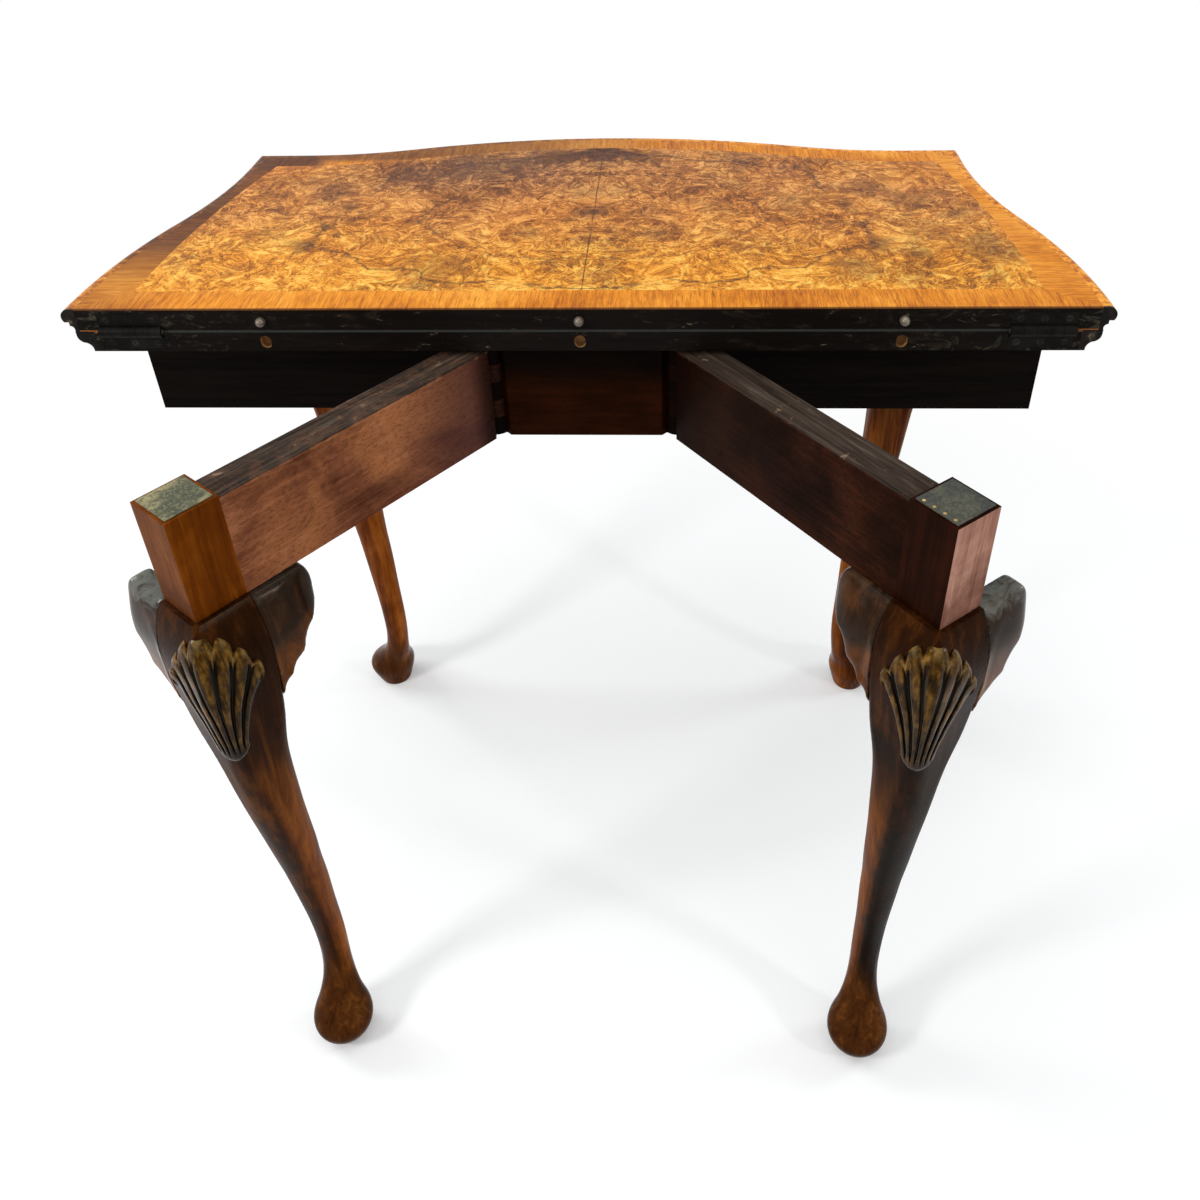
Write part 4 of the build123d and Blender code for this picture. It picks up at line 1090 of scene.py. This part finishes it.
# Hinge screws and tacks
SCREW_RADIUS = 0.0031
SCREW_SLOT = 0.0008
SCREW_SUNK = 0.0006  # of its rear end, in the plate
SCREW_PROUD = 0.00012  # of its face, before the plate
SCREW_FACE = 0.86  # share of the radius at the rim of its face
SCREW_SEGMENTS = 20
SCREW_SPACING = 0.019
SCREW_TURN = 0.5  # of the first slot
SCREW_TURN_STEP = 1.3
SCREW_FROM_EDGE = 0.0056  # of the plate
TACK_COUNT = 4
TACK_SPACING = 0.009
TACK_INSET = 0.0155  # from the pad's middle
TACK_RADIUS = 0.0013
TACK_HEIGHT = 0.0002
TACK_LEVELS = 6
TACK_SEGMENTS = 18


def bridge(mesh, rings):
    """Walls from each closed ring of vertices to the next."""
    for low, high in zip(rings, rings[1:]):
        for index in range(len(low)):
            after = (index + 1) % len(low)
            mesh.faces.new([low[index], low[after], high[after], high[index]])


def screw(name, centre, turn, body, material):
    """Slotted screw head, flush with a hinge plate that faces the rear."""
    mesh = bmesh.new()
    spin = Matrix.Rotation(turn, 2)
    start = math.asin(SCREW_SLOT / 2 / SCREW_RADIUS)
    steps = SCREW_SEGMENTS // 2
    angles = [start + (math.pi - 2 * start) * index / steps for index in range(steps + 1)]
    for side in (1.0, -1.0):
        lip = side * SCREW_SLOT / 2
        rings = []
        for depth, share in ((SCREW_SUNK, 1.0), (-SCREW_PROUD * 0.4, 1.0), (-SCREW_PROUD, SCREW_FACE)):
            ring = []
            for angle in angles:
                high = side * SCREW_RADIUS * math.sin(angle)
                flat = spin @ Vector((SCREW_RADIUS * math.cos(angle) * share, lip + (high - lip) * share))
                ring.append(mesh.verts.new((centre[0] + flat.x, centre[1] + depth, centre[2] + flat.y)))
            rings.append(ring)
        bridge(mesh, rings)
        mesh.faces.new(rings[0])
        mesh.faces.new(rings[-1])
    new_piece(name, closed_mesh(name, mesh), body, material)


def tack(name, centre, body, material):
    """Small round-headed tack that stands on a level face."""
    mesh = bmesh.new()
    rings = []
    for level in range(TACK_LEVELS):
        rise = math.pi / 2 * level / TACK_LEVELS
        reach = TACK_RADIUS * math.cos(rise)
        height = TACK_HEIGHT * math.sin(rise)
        turns = [2 * math.pi * index / TACK_SEGMENTS for index in range(TACK_SEGMENTS)]
        offsets = [Vector((reach * math.cos(turn), reach * math.sin(turn), height)) for turn in turns]
        rings.append([mesh.verts.new(centre + offset) for offset in offsets])
    crown = mesh.verts.new(centre + Vector((0.0, 0.0, TACK_HEIGHT)))
    bridge(mesh, rings)
    for index in range(TACK_SEGMENTS):
        mesh.faces.new([rings[-1][index], rings[-1][(index + 1) % TACK_SEGMENTS], crown])
    mesh.faces.new(list(reversed(rings[0])))
    new_piece(name, closed_mesh(name, mesh, smooth=True), body, material)


make_camera()

# Finishes of the CAD pieces, with the dark, middle and light tone of each wood
UPPER_MOULDING = ((52, 28, 14), (104, 60, 28), (176, 112, 56))
LOWER_MOULDING = ((38, 20, 11), (78, 44, 22), (146, 92, 48))
PLAYING_BORDER = ((86, 46, 20), (142, 84, 40), (182, 118, 62))
FRIEZE = ((70, 38, 18), (124, 72, 34), (168, 108, 56))
COCK_BEAD = ((40, 21, 10), (78, 43, 21), (116, 70, 36))
PACKING = ((52, 32, 20), (84, 56, 36), (112, 80, 54))
CENTRE_BLOCK = ((16, 4, 0), (34, 11, 0), (52, 20, 4))
LEFT_RAIL = ((76, 38, 24), (140, 84, 56), (190, 124, 90))
# Painted shade: the right rail's tones are a darker copy of the left rail's mahogany
SHADED_RIGHT_RAIL = ((14, 4, 0), (36, 14, 5), (66, 32, 15))
UPPER_NOSE_DROP = 0.0075  # from the top of the leaf to the middle of its moulding's nose
LOWER_NOSE_DROP = 0.003
upper_nose = table_top_z - UPPER_NOSE_DROP
lower_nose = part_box("lower_moulding_front")[1][2] - LOWER_NOSE_DROP
upper_walnut = moulding_material("upper_moulding_walnut", UPPER_MOULDING, upper_nose, table_top_z)
lower_walnut = moulding_material("lower_moulding_walnut", LOWER_MOULDING, lower_nose)
frieze = wood("frieze_walnut", FRIEZE, "Z", rough=(0.24, 0.38))
cock_bead = wood("cock_bead_walnut", COCK_BEAD, rough=(0.22, 0.34))
packing = wood("packing_pine", PACKING, rough=(0.5, 0.7), shine=0.05)
block = wood("centre_block_mahogany", CENTRE_BLOCK, rough=(0.5, 0.65), shine=0.02, extra=block_shade)
paint(burr_material(), "burr_veneer_left", "burr_veneer_right")
paint(crossband_material("crossband_walnut_upright", "Y"), "crossband_rear", "crossband_front")
paint(crossband_material("crossband_walnut_level", "X"), "crossband_left", "crossband_right")
paint(leaf_ground_material("upper_ground_pine"), "upper_leaf_core")
paint(leaf_ground_material("lower_ground_pine", (168, 128, 84)), "lower_leaf_core")
paint(upper_walnut, "upper_moulding_left", "upper_moulding_front", "upper_moulding_right")
paint(lower_walnut, "lower_moulding_left", "lower_moulding_front", "lower_moulding_right")
paint(wood("playing_border_walnut", PLAYING_BORDER, "Y"), "upper_playing_border", "lower_playing_border")
paint(ebonised("back_rail_stained_pine", (6, 4, 3), (22, 15, 11), (70, 54, 42)), "back_rail")
paint(frieze, "left_side_rail", "right_side_rail", "front_rail")
paint(cock_bead, "left_cock_bead", "right_cock_bead", "front_cock_bead")
paint(packing, "centre_packing", "glue_blocks")
paint(block, "fixed_knuckle_block")
paint(gate_rail_material("left", LEFT_RAIL, (196, 124, 74), 0.6, (78, 48, 48)), "left_gate_rail")
# The right rail takes the painted-shade tones, with a darker worn tone and pivot shade
paint(gate_rail_material("right", SHADED_RIGHT_RAIL, (74, 38, 20), 0.3, (16, 4, 0)), "right_gate_rail")

# Legs: tones of post and shaft, turn of the painted orange light, share of the dark foot, and the post's face
# painted as lit
ORANGE = ((70, 28, 1), (106, 50, 3), (144, 76, 14))
# Painted shade: a darker copy of the orange, for the right gate leg's post
SHADED_RED_BROWN = ((14, 3, 0), (28, 7, 1), (50, 19, 6))
AMBER = ((24, 9, 0), (54, 24, 2), (98, 54, 12))
# Painted shade: a darker copy of the amber, for the right gate leg's shaft
SHADED_UMBER = ((7, 3, 0), (20, 8, 1), (48, 24, 6))
FAR_BROWN = ((60, 26, 6), (108, 54, 20), (152, 86, 42))
# Painted shade: a darker copy of the far brown, for the right front leg under the table
SHADED_FAR_BROWN = ((36, 14, 3), (78, 36, 12), (132, 76, 36))
# Painted light and shade: tones of a post's face as that face is lit
END_FACE_AS_LIT = ((70, 34, 12), (108, 58, 22), (146, 88, 44))
SIDE_FACE_AS_LIT = ((104, 62, 44), (186, 134, 114), (216, 166, 144))
LEGS = {
    "left_gate_leg": (ORANGE, AMBER, -0.3, 1.0, END_FACE_AS_LIT, GATE_ANGLE + math.pi),
    "right_gate_leg": (SHADED_RED_BROWN, SHADED_UMBER, 3.3, 1.0, SIDE_FACE_AS_LIT, -GATE_ANGLE),
    "left_front_leg": (ORANGE, FAR_BROWN, -0.6, 0.9),
    "right_front_leg": (ORANGE, SHADED_FAR_BROWN, 3.8, 0.0),
}
for leg, finish in LEGS.items():
    paint(leg_material(leg, *finish), leg)

hinge_iron = metal_material("hinge_iron", (7, 6, 5), (26, 23, 19), 0.0, 0.06)
steel = metal_material("pin_steel", (88, 84, 80), (168, 164, 158))
peg_metal = metal_material("peg_metal", (88, 78, 66), (150, 138, 120), 0.5)
for metal, ending in ((hinge_iron, "plate"), (steel, "_pin"), (peg_metal, "alignment_peg")):
    paint(metal, *(name for name in nodes if name.endswith(ending)))

# Baize
playing_baize = baize_material("playing_baize_wool", ((20, 46, 26), (40, 78, 46), (60, 96, 62)), 0.64)
left_pad = baize_material("left_pad_wool", ((24, 28, 8), (76, 78, 36), (142, 132, 88)), 0.56, 0.7)
# Painted shade: the right pad's tones are a darker copy of the left pad's
shaded_right_pad = baize_material("right_pad_wool", ((8, 10, 4), (26, 30, 14), (56, 56, 34)), 0.6, 0.2)
baize_panel("lower_baize_panel", "lower_playing_baize", "carcase", 1.0, playing_baize)
baize_panel("upper_baize_panel", "upper_playing_baize", "upper_leaf", -1.0, playing_baize)
for side, wool in (("left", left_pad), ("right", shaded_right_pad)):
    gate = f"{side}_gate"
    baize_panel(f"{side}_post_baize", f"{gate}_baize_pad", gate, 1.0, wool)

# Ears and shells
# The second number is the share of the painted highlight on the ears' upper edge
ear_walnut = ear_material("ear_walnut", 0.05)
end_ear_walnut = ear_material("end_ear_walnut", 0.36)
for side in ("left", "right"):
    for ear in ("front_ear", "side_ear"):
        leg = f"{side}_front_leg"
        rounded_ear(f"{leg}_{ear}_carved", f"{leg}_{ear}", leg, "carcase", ear_walnut)
    for ear, finish in (("rail_ear", ear_walnut), ("end_ear", end_ear_walnut)):
        gate = f"{side}_gate"
        rounded_ear(f"{gate}_{ear}_carved", f"{gate}_{ear}", f"{gate}_leg", gate, finish)
shell_walnut = shell_material()
for place, bodies, way in (("front", ("carcase", "carcase"), 1), ("gate", ("left_gate", "right_gate"), -1)):
    for side, body, eighths in zip(("left", "right"), bodies, (3, 1)):
        leg = f"{side}_{place}_leg"
        outward_turn = way * eighths * math.pi / 4 + gate_turn(leg)
        carved_shell(f"{side}_{place}_shell", leg, body, outward_turn, shell_walnut)

# Screws of the hinges
screw_iron = metal_material("screw_iron", (12, 10, 8), (50, 45, 38), 0.2, 0.1)
for side in ("left", "right"):
    for level, body in (("upper", "upper_leaf"), ("lower", "carcase")):
        low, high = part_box(f"{side}_hinge_{level}_plate")
        middle_x = (low[0] + high[0]) / 2
        screw_z = high[2] - SCREW_FROM_EDGE if level == "upper" else low[2] + SCREW_FROM_EDGE
        for index in range(3):
            place = (middle_x + SCREW_SPACING * (index - 1), rear_edge_y, screw_z)
            turn = SCREW_TURN + SCREW_TURN_STEP * index
            screw(f"{side}_{level}_screw_{index}", place, turn, body, screw_iron)

# Brass tacks on the right pad
brass = metal_material("tack_brass", (150, 118, 62), (206, 176, 112), 0.9)
pad_low, pad_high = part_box("right_gate_baize_pad")
pad_middle = (pad_low + pad_high) / 2
along = Vector((math.cos(-GATE_ANGLE), math.sin(-GATE_ANGLE), 0.0))
towards = Vector((-along.y, along.x, 0.0))
for index in range(TACK_COUNT):
    offset = TACK_SPACING * (index - (TACK_COUNT - 1) / 2)
    place = pad_middle + along * offset - towards * TACK_INSET
    place.z = pad_high.z
    tack(f"pad_tack_{index}", place, "right_gate", brass)

make_floor()
make_world()
for lamp in LAMPS:
    area_lamp(*lamp)

bpy.context.scene.view_settings.view_transform = "Standard"
